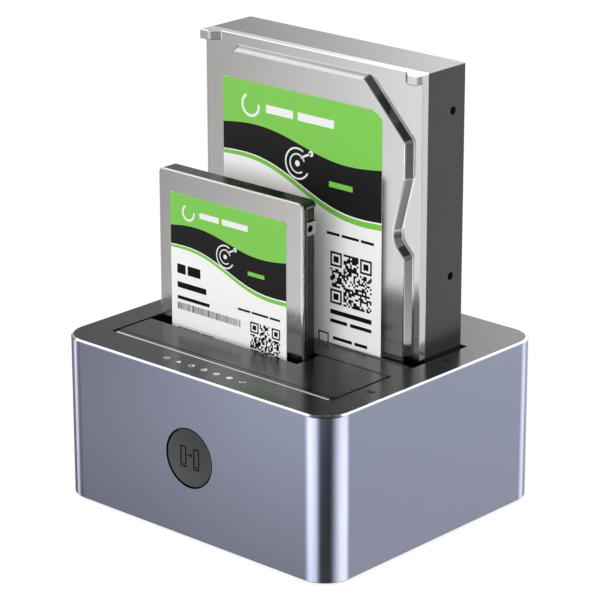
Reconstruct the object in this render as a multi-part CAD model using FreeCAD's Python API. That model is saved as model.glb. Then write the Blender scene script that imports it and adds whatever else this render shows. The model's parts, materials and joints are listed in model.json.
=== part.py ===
import FreeCAD, Part
import math
import os

# Drive duplicator: an aluminium sleeve on rubber feet with two drive bays in its lid.
# Millimetres. X runs along the front face, Y towards the back, Z up.
# The origin is the centre of the footprint, on the surface that the feet stand on.

V = FreeCAD.Vector

# ---- large drive ----
large_width = 101.6
large_thickness = 26.1
large_length = 146.05
large_skirt = 3.3       # bright rim of the lid seen from the side
large_rim_drop = 3.2    # lid rim below the drive's top plane
large_ear_width = 4.0
large_ear_height = 3.4
large_ear_ramp = 3.5    # run of the slope from an ear back to the rim
plateau_drop = 0.1
plateau_side = 4.9
plateau_top = 5.2
plateau_bottom = 9.0
plateau_slope = 1.4
plateau_left_cut_x = 11.4
plateau_left_cut_z = 12.8
plateau_right_cut_x = 18.6
plateau_right_cut_z = 19.4
waist_depth = 4.9
waist_drop = 37.4       # start of the waist below the drive's top
waist_upper_slope = 18.9
waist_flat = 4.7
waist_lower_slope = 5.0
plateau_corner = 2.0
waist_round = 6.5       # corners of the waist's bottom
plateau_edge = 0.5
large_hub_radius = 12.5
large_hub_gap = 4.5     # between the board's far end and the hub
large_board_width = 84.0
large_board_length = 66.0
large_board_rise = 12.0
large_label_left = 11.1
large_label_right = 15.1
large_label_drop = 15.2
large_label_rise = 29.85
large_label_cut = 3.0
label_thickness = 0.08
side_hole_radius = 1.5
side_hole_depth = 4.0
large_side_holes = (28.5, 70.1)
large_far_hole = 15.95  # last side hole from the drive's far end
large_side_hole_inset = 6.35
large_edge_round = 0.6
large_back_hole_inset = 3.18    # from each side
large_back_holes = (41.28, 85.73)
large_back_hole_radius = 1.6
large_web_recess = 0.7  # shallow fields between the webs of the casting's back
large_web = 2.4
large_web_margin = 9.0

# ---- small drive ----
small_width = 69.85
small_thickness = 7.0
small_length = 100.2
connector_depth = 3.5   # connector plane in front of any drive's back
small_cover = 1.0
small_cover_round = 0.5
small_corner = 2.2
small_side_strip = 1.4
small_side_recess = 0.8
small_side_hole = 14.0  # first hole from the connector end
small_far_hole = 9.6    # second hole from the far end
small_side_boss = 4.8
small_side_hole_inset = 3.0
small_side_hole_radius = 1.25
small_side_hole_depth = 3.0
small_back_hole_inset = 4.07
small_back_hole_depth = 2.5
small_hub_radius = 7.5
small_hub_gap = 3.0
small_board_width = 58.0
small_board_length = 44.0
small_board_rise = 9.5
small_label_left = 5.8
small_label_right = 7.65
small_label_drop = 8.0
small_label_rise = 10.2
small_label_corner = 2.4

# ---- both drives' backs ----
drive_board = 0.9
drive_board_sink = 1.0
drive_board_gap = 0.3
drive_hub_ring = 3.0
drive_hub_sink = 0.4
board_screw_radius = 1.5
board_screw_height = 0.5
board_screw_inset = 3.5

# ---- housing ----
shell_height = 61.0
side_margin = 12.0      # from a bay's side to the sleeve's side
front_margin = 15.0     # from the front bay to the sleeve's front
back_margin = 27.0      # from the rear bay to the sleeve's back
shell_wall = 2.0
corner_radius = 11.0
rim_lip = 0.95          # wall left beside each lid's rebate
rim_chamfer = 0.75
foot_rim_chamfer = 0.35
lid_gap = 0.1           # all round the lid and the base in their rebates
plate_thickness = 2.5
base_thickness = 2.0

# ---- feet and fixings ----
foot_radius = 5.0
foot_proud = 1.0
foot_pocket = 0.8
foot_inset_x = 16.0     # foot's centre from the sleeve's side
foot_inset_y = 15.5
foot_gap = 0.15
tie_radius = 2.8
tie_inset_y = 19.5      # post's centre from the sleeve's ends
tie_spigot_radius = 1.5
tie_spigot = 1.2
screw_head_radius = 2.6
screw_head = 1.1
screw_radius = 1.2
screw_length = 9.0
screw_gap = 0.05
fit_gap = 0.1           # loose fit of a piece in its pocket

# ---- bays ----
bay_side_play = 4.4     # bay wider than a large drive
bay_depth_play = 5.4    # bay deeper than a large drive is thick
bay_bridge = 10.0       # lid between the bays
bay_wall = 1.5
bay_flange = 1.2
bay_corner = 0.6
seat_gap = 0.3          # drive end above the bay floor
large_seat_depth = 42.05
small_seat_depth = 42.9
drive_side_gap = 2.8    # both drives' left sides from the bay's
connector_inset = 30.1  # connector's centre from a drive's left side
socket_setback = 5.5    # connector plane in front of the bay's back wall

# ---- bay flaps ----
flap_thickness = 1.6
flap_barrel = 1.2       # barrel radius, level with the flap's top
flap_inset = 1.6        # hinge axis behind the bay's front edge
flap_side_gap = 0.9
flap_back_gap = 0.5
flap_barrel_gap = 1.7   # at each end of the barrel
flap_groove = 0.5
flap_groove_depth = 0.3
flap_edge_round = 0.25
notch_side_gap = 0.45   # notch for a small drive, beyond its right side
notch_front_gap = 3.4   # and before its face
folded_angle = 89.4
pin_radius = 0.6
pin_gap = 0.05
pin_bite = 2.5          # pin end in the lid
pin_seat_gap = 0.02
spring_wire = 0.36
spring_turns = 3

# ---- boards and sockets ----
board_thickness = 1.6
board_lift = 4.0
board_side_gap = 9.0    # board's edges from the sleeve's inside
board_front_gap = 13.5
board_back_gap = 2.5
standoff_radius = 2.3
standoff_inset = 7.0    # from the board's sides
standoff_front_inset = 6.0
standoff_back_inset = 13.0
socket_shoulder = 2.0   # socket's body beyond each end of its nose
socket_width = 7.0
socket_gap = 0.5        # round the socket in the bay floor
nose_length = 38.0
nose_wall_gap = 0.55     # from the nose's side to the outside of the plug
nose_rise = 3.3         # nose above the drive's end
nose_gap = 0.3
blade_thickness = 1.2
blade_gap = 0.35
signal_blade = 10.4
power_blade = 20.6
blade_apart = 2.4
plug_end = 2.5          # plug beyond each end of the nose
plug_cover_gap = 0.05
plug_height = 8.0

# ---- clone button ----
button_drop = 0.3       # centre below the middle of the sleeve's height
button_radius = 10.6
button_gap = 0.6
button_recess = 0.1
button_dish = 0.35
button_flange = 1.3     # wider than the cap, all round
button_flange_thickness = 1.2
button_flange_gap = 0.3
button_travel = 1.0
stem_radius = 2.0
stem_length = 4.4
stem_gap = 0.3
guide_wall = 2.2
guide_floor = 1.2
guide_clearance = 0.4   # left under the flange at full travel
guide_post = 4.0
guide_post_radius = 1.6
guide_post_x = 9.5
switch_body = 6.4
switch_depth = 3.5
switch_bore_depth = 2.6
switch_board_width = 26.0
switch_board_height = 14.0
thin_board = 1.2

# ---- indicator lights ----
light_count = 7
light_pitch = 6.05
light_bay_gap = 6.85    # row's centre in front of the front bay
light_radius = 1.5
light_skin = 0.5        # lid left over each light guide
light_board_drop = 8.0  # board below the lid's underside
light_board_end = 12.85 # board beyond the last lights
light_board_depth = 8.4
light_post_inset = 4.0
light_post_radius = 1.8
led_side = 1.6
led_height = 0.3

# ---- sockets and switch in the back ----
power_inset = 25.0      # socket's axis from the sleeve's inside, on the right
power_body = 9.4
power_body_height = 11.4
power_body_depth = 12.6
power_nose = 4.0
power_bore = 3.2
power_bore_depth = 9.0
power_pin = 1.0
usb_apart = 20.0        # between the two sockets' centres
usb_width = 9.0
usb_height = 3.2
usb_depth = 8.0
usb_skin = 0.35
usb_tongue = 0.7
port_gap = 0.35
port_recess = 0.5
rocker_inset = 27.0     # from the sleeve's inside, on the left
rocker_height = 13.0
rocker_width = 9.6
rocker_reach = 5.2      # pivot to the ends of the face
rocker_waist = 4.2      # pivot to the middle of the face
rocker_back = 3.0
rocker_tilt = 7.0       # each side of level
rocker_recess = 0.3
rocker_gap = 0.3
rocker_stub = 0.9
rocker_stub_length = 1.0
rocker_wall = 1.7
rocker_floor = 2.0
rocker_play = 0.9       # over and under the rocker in its frame
rocker_flange = 2.2
rocker_flange_thickness = 1.5

# ---- levels and places that follow ----
bay_width = large_width + bay_side_play
bay_depth = large_thickness + bay_depth_play
bay_pitch = bay_depth + bay_bridge
shell_width = bay_width + 2 * side_margin
shell_depth = front_margin + bay_pitch + bay_depth + back_margin
front_bay_y = front_margin + bay_depth / 2 - shell_depth / 2
rear_bay_y = front_bay_y + bay_pitch
inner_x = shell_width / 2 - shell_wall
inner_y = shell_depth / 2 - shell_wall
z_rim = foot_proud
z_top = z_rim + shell_height
z_lid = z_top - plate_thickness
z_floor = z_rim + base_thickness
z_board = z_floor + board_lift
z_board_top = z_board + board_thickness
z_button = z_rim + shell_height / 2 - button_drop
foot_x = shell_width / 2 - foot_inset_x
foot_y = shell_depth / 2 - foot_inset_y
tie_x = (bay_width / 2 + bay_wall + bay_flange + inner_x) / 2
tie_y = shell_depth / 2 - tie_inset_y
board_half_width = inner_x - board_side_gap
board_front = board_front_gap - inner_y
board_back = inner_y - board_back_gap
light_y = front_bay_y - bay_depth / 2 - light_bay_gap
power_x = inner_x - power_inset
usb_x = power_x - usb_apart
rocker_x = rocker_inset - inner_x
flap_axis_z = z_top - flap_barrel
drive_left = drive_side_gap - bay_width / 2
large_x = drive_left + large_width / 2
small_x = drive_left + small_width / 2
socket_x = drive_left + connector_inset
large_seat = z_top - large_seat_depth
small_seat = z_top - small_seat_depth
large_hub_z = large_board_rise + large_board_length + large_hub_gap + large_hub_radius
small_hub_z = small_board_rise + small_board_length + small_hub_gap + small_hub_radius
plug_width = 2 * (small_thickness - small_cover - connector_depth - plug_cover_gap)
plug_length = nose_length + 2 * plug_end
nose_width = plug_width - 2 * nose_wall_gap
socket_length = nose_length + 2 * socket_shoulder
cavity_rise = nose_rise + nose_gap


# ---- plain forms ----
def box(x0, x1, y0, y1, z0, z1):
    return Part.makeBox(x1 - x0, y1 - y0, z1 - z0, V(x0, y0, z0))


def rod_x(y, z, radius, x0, x1):
    return Part.makeCylinder(radius, x1 - x0, V(x0, y, z), V(1, 0, 0))


def rod_y(x, z, radius, y0, y1):
    return Part.makeCylinder(radius, y1 - y0, V(x, y0, z), V(0, 1, 0))


def rod_z(x, y, radius, z0, z1):
    return Part.makeCylinder(radius, z1 - z0, V(x, y, z0), V(0, 0, 1))


def corner_arc(before, corner, after, radius):
    """Return the two ends and the middle of the arc that rounds one corner."""
    a = (before - corner).normalize()
    b = (after - corner).normalize()
    half = a.getAngle(b) / 2
    reach = radius / math.tan(half)
    middle = (a + b).normalize() * (radius / math.sin(half) - radius)
    return corner + a * reach, corner + middle, corner + b * reach


def rounded_wire(points, radii):
    """Return a closed wire through the points, each corner rounded by its own radius."""
    count = len(points)
    arcs = []
    for i in range(count):
        radius = radii[i]
        if radius > 0:
            arcs.append(corner_arc(points[i - 1], points[i], points[(i + 1) % count], radius))
        else:
            arcs.append((points[i], None, points[i]))
    edges = []
    for i in range(count):
        start, middle, end = arcs[i]
        if middle is not None:
            edges.append(Part.Arc(start, middle, end).toShape())
        following = arcs[(i + 1) % count][0]
        if (following - end).Length > 1e-6:
            edges.append(Part.LineSegment(end, following).toShape())
    return Part.Wire(edges)


def rounded_block(x0, x1, y0, y1, z0, z1, radius):
    """A block with its four upright edges rounded."""
    corners = [V(x0, y0, z0), V(x1, y0, z0), V(x1, y1, z0), V(x0, y1, z0)]
    return Part.Face(rounded_wire(corners, [radius] * 4)).extrude(V(0, 0, z1 - z0))


def rounded_slab(x0, x1, z0, z1, y0, y1, radii):
    """A slab facing the front, its corners rounded: lower left, lower right, upper right, upper left."""
    corners = [V(x0, y0, z0), V(x1, y0, z0), V(x1, y0, z1), V(x0, y0, z1)]
    return Part.Face(rounded_wire(corners, radii)).extrude(V(0, y1 - y0, 0))


def sleeve_block(inset, z0, z1):
    """The sleeve's outline, inset all round, as a solid."""
    x = shell_width / 2 - inset
    y = shell_depth / 2 - inset
    return rounded_block(-x, x, -y, y, z0, z1, corner_radius - inset)


def flat_edges(shape, axis, level):
    """The edges that lie in the plane where the axis has this level."""
    found = []
    for edge in shape.Edges:
        box_ = edge.BoundBox
        low = getattr(box_, axis + "Min")
        high = getattr(box_, axis + "Max")
        if abs(low - level) < 1e-3 and abs(high - level) < 1e-3:
            found.append(edge)
    return found


def corner_places(dx, dy):
    return [(sx * dx, sy * dy) for sx in (-1, 1) for sy in (-1, 1)]


def group(solids):
    return Part.makeCompound(solids)


def bay_front(bay_y):
    return bay_y - bay_depth / 2


def bay_back(bay_y):
    return bay_y + bay_depth / 2


def connector_y(bay_y):
    return bay_back(bay_y) - socket_setback


def drive_back(bay_y):
    """The plane of a seated drive's back, the same for both sizes."""
    return connector_y(bay_y) + connector_depth


def flap_axis_y(bay_y):
    return bay_front(bay_y) + flap_inset


# ---- housing ----
def shell():
    outer = sleeve_block(0, z_rim, z_top)
    outer = outer.makeChamfer(rim_chamfer, flat_edges(outer, "Z", z_top))
    outer = outer.makeChamfer(foot_rim_chamfer, flat_edges(outer, "Z", z_rim))
    sleeve = outer.cut(sleeve_block(shell_wall, z_rim - 1, z_top + 1))
    sleeve = sleeve.cut(sleeve_block(rim_lip, z_lid, z_top + 1))
    sleeve = sleeve.cut(sleeve_block(rim_lip, z_rim - 1, z_floor))
    front = -shell_depth / 2
    sleeve = sleeve.cut(rod_y(0, z_button, button_radius + button_gap, front - 1, front + shell_wall + 1))
    return sleeve.cut(back_ports(port_gap, inner_y - 1, shell_depth / 2 + 1))


def back_ports(gap, y0, y1):
    """The three openings in the back wall, each wider than its socket by the gap."""
    power = rod_y(power_x, power_axis_z(), power_nose + gap, y0, y1)
    usb = usb_block(-gap, y0, y1)
    half_w = rocker_width / 2 + rocker_gap
    half_h = rocker_height / 2 + rocker_play
    switch = box(rocker_x - half_w, rocker_x + half_w, y0, y1, rocker_z() - half_h, rocker_z() + half_h)
    return group([power, usb, switch])


def top_plate():
    plate = sleeve_block(rim_lip + lid_gap, z_lid, z_top)
    half = bay_width / 2
    for bay_y in (front_bay_y, rear_bay_y):
        y0, y1 = bay_front(bay_y), bay_back(bay_y)
        plate = plate.cut(rounded_block(-half, half, y0, y1, z_lid - 1, z_top + 1, bay_corner))
        for side in (-1, 1):
            plate = plate.cut(pin_groove(side, flap_axis_y(bay_y)))
    for x, y in corner_places(tie_x, tie_y):
        plate = plate.cut(rod_z(x, y, tie_spigot_radius + fit_gap, z_lid - 1, z_lid + tie_spigot + fit_gap))
    for x in light_places():
        plate = plate.cut(rod_z(x, light_y, light_radius + fit_gap, z_lid - 1, z_top - light_skin))
    return plate


def pin_groove(side, y):
    """A groove with a round roof, open downwards, for one end of a hinge pin."""
    radius = pin_radius + pin_seat_gap
    near = side * (bay_width / 2 - 1)
    far = side * (bay_width / 2 + pin_bite)
    x0, x1 = min(near, far), max(near, far)
    roof = rod_x(y, flap_axis_z, radius, x0, x1)
    return roof.fuse(box(x0, x1, y - radius, y + radius, z_lid - 1, flap_axis_z))


def bay_well(bay_y, seat):
    """One bay's moulded well, from under the lid to below the drive's end."""
    half = bay_width / 2
    y0, y1 = bay_front(bay_y), bay_back(bay_y)
    floor_top = seat - seat_gap
    floor_under = floor_top - bay_wall
    outside = (-half - bay_wall, half + bay_wall, y0 - bay_wall, y1 + bay_wall)
    well = rounded_block(*outside, floor_under, z_lid, bay_wall)
    rim = bay_wall + bay_flange
    flange = rounded_block(-half - rim, half + rim, y0 - rim, y1 + rim, z_lid - bay_wall, z_lid, rim)
    well = well.fuse(flange)
    well = well.cut(rounded_block(-half, half, y0, y1, floor_top, z_lid + 1, bay_corner))
    y = connector_y(bay_y)
    dx = socket_length / 2 + socket_gap
    dy = socket_width / 2 + socket_gap
    well = well.cut(box(socket_x - dx, socket_x + dx, y - dy, y + dy, floor_under - 1, floor_top + 1))
    for side in (-1, 1):
        well = well.fuse(pin_saddle(side, flap_axis_y(bay_y)))
    return well.removeSplitter()


def pin_saddle(side, y):
    """A tongue on the well's rim that holds a hinge pin up in its groove."""
    near = side * (bay_width / 2)
    far = side * (bay_width / 2 + bay_wall)
    x0, x1 = min(near, far), max(near, far)
    width = pin_radius
    return box(x0, x1, y - width, y + width, z_lid - fit_gap, flap_axis_z - pin_radius - pin_seat_gap)


def base_plate():
    plate = sleeve_block(rim_lip + lid_gap, z_rim, z_floor)
    for x, y in corner_places(foot_x, foot_y):
        plate = plate.cut(rod_z(x, y, foot_radius + foot_gap, z_rim - 1, z_rim + foot_pocket))
    for x, y in corner_places(tie_x, tie_y):
        plate = plate.cut(rod_z(x, y, screw_radius + fit_gap, z_rim - 1, z_floor + 1))
        plate = plate.cut(rod_z(x, y, screw_head_radius + fit_gap, z_rim - 1, z_rim + screw_head + fit_gap))
    return plate


def rubber_feet():
    feet = []
    for x, y in corner_places(foot_x, foot_y):
        foot = rod_z(x, y, foot_radius, 0, z_rim + foot_pocket)
        feet.append(foot.makeFillet(foot_proud * 0.6, flat_edges(foot, "Z", 0)))
    return group(feet)


def tie_posts():
    posts = []
    for x, y in corner_places(tie_x, tie_y):
        post = rod_z(x, y, tie_radius, z_floor, z_lid)
        post = post.fuse(rod_z(x, y, tie_spigot_radius, z_lid, z_lid + tie_spigot))
        bore_top = z_rim + screw_length + fit_gap
        posts.append(post.cut(rod_z(x, y, screw_radius + screw_gap, z_floor - 1, bore_top)))
    return group(posts)


def base_screws():
    screws = []
    for x, y in corner_places(tie_x, tie_y):
        head = rod_z(x, y, screw_head_radius, z_rim + fit_gap, z_rim + screw_head)
        head = head.cut(cross_slot(x, y, z_rim + fit_gap, screw_head_radius, screw_head / 2))
        screws.append(head.fuse(rod_z(x, y, screw_radius, z_rim + screw_head, z_rim + screw_length)))
    return group(screws)


def cross_slot(x, y, z, radius, depth):
    """A cross recess that opens downwards at height z."""
    long = radius * 0.62
    slim = radius * 0.14
    arm = box(x - long, x + long, y - slim, y + slim, z - 1, z + depth)
    return arm.fuse(box(x - slim, x + slim, y - long, y + long, z - 1, z + depth))


# ---- boards and drive sockets ----
def standoff_places():
    x = board_half_width - standoff_inset
    ends = (board_front + standoff_front_inset, board_back - standoff_back_inset)
    return [(side * x, y) for side in (-1, 1) for y in ends]


def main_board():
    edge = box(-board_half_width, board_half_width, board_front, board_back, z_board, z_board_top)
    for x, y in standoff_places():
        edge = edge.cut(rod_z(x, y, screw_radius + fit_gap, z_board - 1, z_board_top + 1))
    return edge


def board_standoffs():
    posts = []
    for x, y in standoff_places():
        post = rod_z(x, y, standoff_radius, z_floor, z_board)
        posts.append(post.cut(rod_z(x, y, screw_radius + screw_gap, z_floor + 1, z_board + 1)))
    return group(posts)


def board_screws():
    screws = []
    for x, y in standoff_places():
        head = rod_z(x, y, standoff_radius, z_board_top, z_board_top + screw_head)
        screws.append(head.fuse(rod_z(x, y, screw_radius, z_floor + 1 + fit_gap, z_board_top)))
    return group(screws)


def blade_spans():
    """The left and right ends of the two contact blades, from the connector's centre."""
    total = signal_blade + blade_apart + power_blade
    left = -total / 2
    return [(left, left + power_blade), (left + power_blade + blade_apart, left + total)]


def sata_socket(bay_y, seat):
    """An upright socket: its nose, with two slots, enters the recess in the drive's end."""
    y = connector_y(bay_y)
    body_top = seat - seat_gap - socket_gap
    dx, dy = socket_length / 2, socket_width / 2
    socket = box(socket_x - dx, socket_x + dx, y - dy, y + dy, z_board_top, body_top)
    nx, ny = nose_length / 2, nose_width / 2
    nose = rounded_block(socket_x - nx, socket_x + nx, y - ny, y + ny, body_top, seat + nose_rise, blade_gap)
    socket = socket.fuse(nose)
    half = blade_thickness / 2 + blade_gap
    for x0, x1 in blade_spans():
        a, b = socket_x + x0 - blade_gap, socket_x + x1 + blade_gap
        socket = socket.cut(box(a, b, y - half, y + half, seat - nose_gap, seat + nose_rise + 1))
    return socket


def sata_plug(bay_y, seat):
    """A drive's connector: a hood round two thin blades, open at the drive's end."""
    y = connector_y(bay_y)
    dx, dy = plug_length / 2, plug_width / 2
    hood = box(socket_x - dx, socket_x + dx, y - dy, y + dy, seat, seat + plug_height)
    cx = nose_length / 2 + nose_gap
    cy = nose_width / 2 + nose_gap
    hood = hood.cut(box(socket_x - cx, socket_x + cx, y - cy, y + cy, seat - 1, seat + cavity_rise))
    half = blade_thickness / 2
    for x0, x1 in blade_spans():
        blade = box(socket_x + x0, socket_x + x1, y - half, y + half, seat, seat + cavity_rise)
        hood = hood.fuse(blade)
    return hood


# ---- flaps ----
def flap(bay_y):
    """A closed flap: a leaf with a notch for a small drive, and a hinge barrel along its front."""
    y = flap_axis_y(bay_y)
    back = bay_back(bay_y) - flap_back_gap
    half = bay_width / 2 - flap_side_gap
    barrel_half = bay_width / 2 - flap_barrel_gap
    z0 = z_top - flap_thickness
    leaf = box(-half, half, y, back, z0, z_top)
    notch_x = drive_left + small_width + notch_side_gap
    notch_y = drive_back(bay_y) - small_thickness - notch_front_gap
    leaf = leaf.cut(box(-half - 1, notch_x, notch_y, back + 1, z0 - 1, z_top + 1))
    for side in (-1, 1):
        x0, x1 = sorted((side * barrel_half, side * (half + 1)))
        leaf = leaf.cut(box(x0, x1, y - 1, y + flap_barrel + pin_gap, z0 - 1, z_top + 1))
    leaf = leaf.makeFillet(flap_edge_round, leaf_top_edges(leaf, y))
    flap_ = leaf.fuse(rod_x(y, flap_axis_z, flap_barrel, -barrel_half, barrel_half))
    groove_y = y + flap_barrel
    groove = box(-half - 1, half + 1, groove_y, groove_y + flap_groove, z_top - flap_groove_depth, z_top + 1)
    bore = rod_x(y, flap_axis_z, pin_radius + pin_gap, -half - 1, half + 1)
    return flap_.cut(groove).cut(bore).removeSplitter()


def leaf_top_edges(leaf, y):
    """The leaf's upper edges, apart from the one along the hinge barrel."""
    return [edge for edge in flat_edges(leaf, "Z", z_top) if edge.BoundBox.YMax > y + flap_barrel * 2]


def front_flap():
    return flap(front_bay_y)


def rear_flap():
    folded = flap(rear_bay_y)
    folded.rotate(V(0, flap_axis_y(rear_bay_y), flap_axis_z), V(1, 0, 0), -folded_angle)
    return folded


def flap_pin(bay_y):
    half = bay_width / 2 + pin_bite - fit_gap
    return rod_x(flap_axis_y(bay_y), flap_axis_z, pin_radius, -half, half)


def flap_spring(bay_y):
    """A close-wound coil on the hinge pin, at the right-hand end of the barrel."""
    y = flap_axis_y(bay_y)
    radius = spring_wire / 2
    inner = pin_radius + pin_gap
    x0 = bay_width / 2 - (flap_barrel_gap + spring_turns * spring_wire) / 2
    edges = []
    for turn in range(spring_turns):
        start = V(x0 + turn * spring_wire, y, flap_axis_z + inner + radius)
        crown = start + V(radius, 0, radius)
        end = start + V(spring_wire, 0, 0)
        edges.append(Part.Arc(start, crown, end).toShape())
    far = x0 + spring_turns * spring_wire
    z_out = flap_axis_z + inner + radius
    z_in = flap_axis_z + inner
    edges.append(Part.LineSegment(V(far, y, z_out), V(far, y, z_in)).toShape())
    edges.append(Part.LineSegment(V(far, y, z_in), V(x0, y, z_in)).toShape())
    edges.append(Part.LineSegment(V(x0, y, z_in), V(x0, y, z_out)).toShape())
    return Part.Face(Part.Wire(edges)).revolve(V(0, y, flap_axis_z), V(1, 0, 0), 360)


# ---- clone button ----
def button_face_y():
    return -shell_depth / 2 + button_recess


def flange_y():
    return -inner_y + button_flange_gap


def clone_button():
    """A dished cap with a flange behind the front wall and a stem to the switch."""
    face = button_face_y()
    cap = rod_y(0, z_button, button_radius, face, flange_y())
    cap = cap.makeFillet(button_dish, flat_edges(cap, "Y", face))
    bowl = (button_radius ** 2 + button_dish ** 2) / (2 * button_dish)
    cap = cap.cut(Part.makeSphere(bowl, V(0, face + button_dish - bowl, z_button)))
    behind = flange_y() + button_flange_thickness
    flange = rod_y(0, z_button, button_radius + button_flange, flange_y(), behind)
    stem = rod_y(0, z_button, stem_radius, behind, behind + stem_length)
    return cap.fuse(flange).fuse(stem).removeSplitter()


def guide_floor_y():
    return flange_y() + button_flange_thickness + button_travel + guide_clearance


def guide_back_y():
    return guide_floor_y() + guide_floor


def button_guide():
    """A cup on the front wall's inside that carries the button and the switch board."""
    inner = button_radius + button_flange + button_flange_gap
    front = -inner_y
    cup = rod_y(0, z_button, inner + guide_wall, front, guide_back_y())
    cup = cup.cut(rod_y(0, z_button, inner, front - 1, guide_floor_y()))
    cup = cup.cut(rod_y(0, z_button, stem_radius + stem_gap, front - 1, guide_back_y() + 1))
    for side in (-1, 1):
        post = rod_y(side * guide_post_x, z_button, guide_post_radius, guide_back_y(), switch_board_y())
        cup = cup.fuse(post)
    return cup


def switch_board_y():
    return guide_back_y() + guide_post


def clone_switch():
    y1 = switch_board_y()
    y0 = y1 - switch_depth
    half = switch_body / 2
    body = box(-half, half, y0, y1, z_button - half, z_button + half)
    bore = rod_y(0, z_button, stem_radius + stem_gap, y0 - 1, y0 + switch_bore_depth)
    return body.cut(bore)


def clone_switch_board():
    y = switch_board_y()
    dx, dz = switch_board_width / 2, switch_board_height / 2
    return box(-dx, dx, y, y + thin_board, z_button - dz, z_button + dz)


# ---- indicator lights ----
def light_places():
    middle = (light_count - 1) / 2
    return [(i - middle) * light_pitch for i in range(light_count)]


def light_board_top():
    return z_lid - light_board_drop


def light_board_half():
    return (light_count - 1) / 2 * light_pitch + light_board_end


def indicator_light_guides():
    low = light_board_top() + led_height + fit_gap
    high = z_top - light_skin - fit_gap / 2
    guides = []
    for x in light_places():
        guide = rod_z(x, light_y, light_radius, low, high)
        guides.append(guide.fuse(Part.makeCone(light_radius * 1.25, light_radius, 2, V(x, light_y, low))))
    return group(guides)


def indicator_lights():
    half = led_side / 2
    z = light_board_top()
    return group([box(x - half, x + half, light_y - half, light_y + half, z, z + led_height)
                  for x in light_places()])


def indicator_board():
    dx, dy = light_board_half(), light_board_depth / 2
    z = light_board_top()
    return box(-dx, dx, light_y - dy, light_y + dy, z - thin_board, z)


def indicator_posts():
    x = light_board_half() - light_post_inset
    return group([rod_z(side * x, light_y, light_post_radius, light_board_top(), z_lid) for side in (-1, 1)])


# ---- sockets and switch in the back wall ----
def port_face_y():
    return shell_depth / 2 - port_recess


def power_axis_z():
    return z_board_top + power_body_height / 2


def dc_power_socket():
    """A barrel socket: a square body with a round nose in the back wall and a centre pin."""
    face = port_face_y()
    z = power_axis_z()
    half = power_body / 2
    shoulder = inner_y - fit_gap
    body = box(power_x - half, power_x + half, shoulder - power_body_depth, shoulder,
               z_board_top, z_board_top + power_body_height)
    socket = body.fuse(rod_y(power_x, z, power_nose, shoulder, face))
    socket = socket.cut(rod_y(power_x, z, power_bore, face - power_bore_depth, face + 1))
    pin = rod_y(power_x, z, power_pin, face - power_bore_depth, face - 1)
    return socket.fuse(pin)


def usb_block(inset, y0, y1):
    """The stadium section of the reversible data socket, inset all round."""
    half_w = usb_width / 2 - inset
    half_h = usb_height / 2 - inset
    z = usb_axis_z()
    radius = half_h - 0.01
    return rounded_slab(usb_x - half_w, usb_x + half_w, z - half_h, z + half_h, y0, y1, [radius] * 4)


def usb_axis_z():
    return z_board_top + usb_height / 2


def usb_socket():
    face = port_face_y()
    socket = usb_block(0, face - usb_depth, face)
    socket = socket.cut(usb_block(usb_skin, face - usb_depth + 1, face + 1))
    half_w = usb_width / 2 - usb_height / 2
    half_t = usb_tongue / 2
    z = usb_axis_z()
    tongue = box(usb_x - half_w, usb_x + half_w, face - usb_depth + 1, face - 1, z - half_t, z + half_t)
    return socket.fuse(tongue)


def rocker_y():
    reach = rocker_reach + rocker_height / 2 * math.sin(math.radians(rocker_tilt))
    return shell_depth / 2 - rocker_recess - reach


def rocker_z():
    return z_button


def power_switch_body():
    """The rocker's frame: a box behind the back wall, with a flange against the wall."""
    half_w = rocker_width / 2 + rocker_gap
    half_h = rocker_height / 2 + rocker_play
    z = rocker_z()
    y1 = inner_y
    y0 = rocker_y() - rocker_back - rocker_play
    w, h = half_w + rocker_wall, half_h + rocker_wall
    frame = box(rocker_x - w, rocker_x + w, y0 - rocker_floor, y1, z - h, z + h)
    w, h = w + rocker_flange, h + rocker_flange
    frame = frame.fuse(box(rocker_x - w, rocker_x + w, y1 - rocker_flange_thickness, y1, z - h, z + h))
    frame = frame.cut(box(rocker_x - half_w, rocker_x + half_w, y0, y1 + 1, z - half_h, z + half_h))
    reach = rocker_width / 2 + rocker_stub_length + rocker_gap / 2
    stubs = rod_x(rocker_y(), z, rocker_stub + pin_gap, rocker_x - reach, rocker_x + reach)
    return frame.cut(stubs).removeSplitter()


def power_rocker():
    """A rocker with a shallow V face on two hinge stubs, resting tilted."""
    y, z = rocker_y(), rocker_z()
    half = rocker_height / 2
    x0, x1 = rocker_x - rocker_width / 2, rocker_x + rocker_width / 2
    keel = half * 0.45
    profile = [(-rocker_back, -keel), (-rocker_back, keel), (0, half), (rocker_reach, half),
               (rocker_waist, 0), (rocker_reach, -half), (0, -half)]
    points = [V(x0, y + u, z + w) for u, w in profile]
    wire = rounded_wire(points, [0.6, 0.6, 0.6, 0.5, 2.0, 0.5, 0.6])
    rocker = Part.Face(wire).extrude(V(x1 - x0, 0, 0))
    reach = rocker_width / 2 + rocker_stub_length
    rocker = rocker.fuse(rod_x(y, z, rocker_stub, rocker_x - reach, rocker_x + reach))
    rocker.rotate(V(rocker_x, y, z), V(1, 0, 0), rocker_tilt)
    return rocker


# ---- large drive ----
def large_back_y():
    return drive_back(rear_bay_y)


def large_face_y():
    return large_back_y() - large_thickness


def large_top_z():
    return large_seat + large_length


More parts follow.
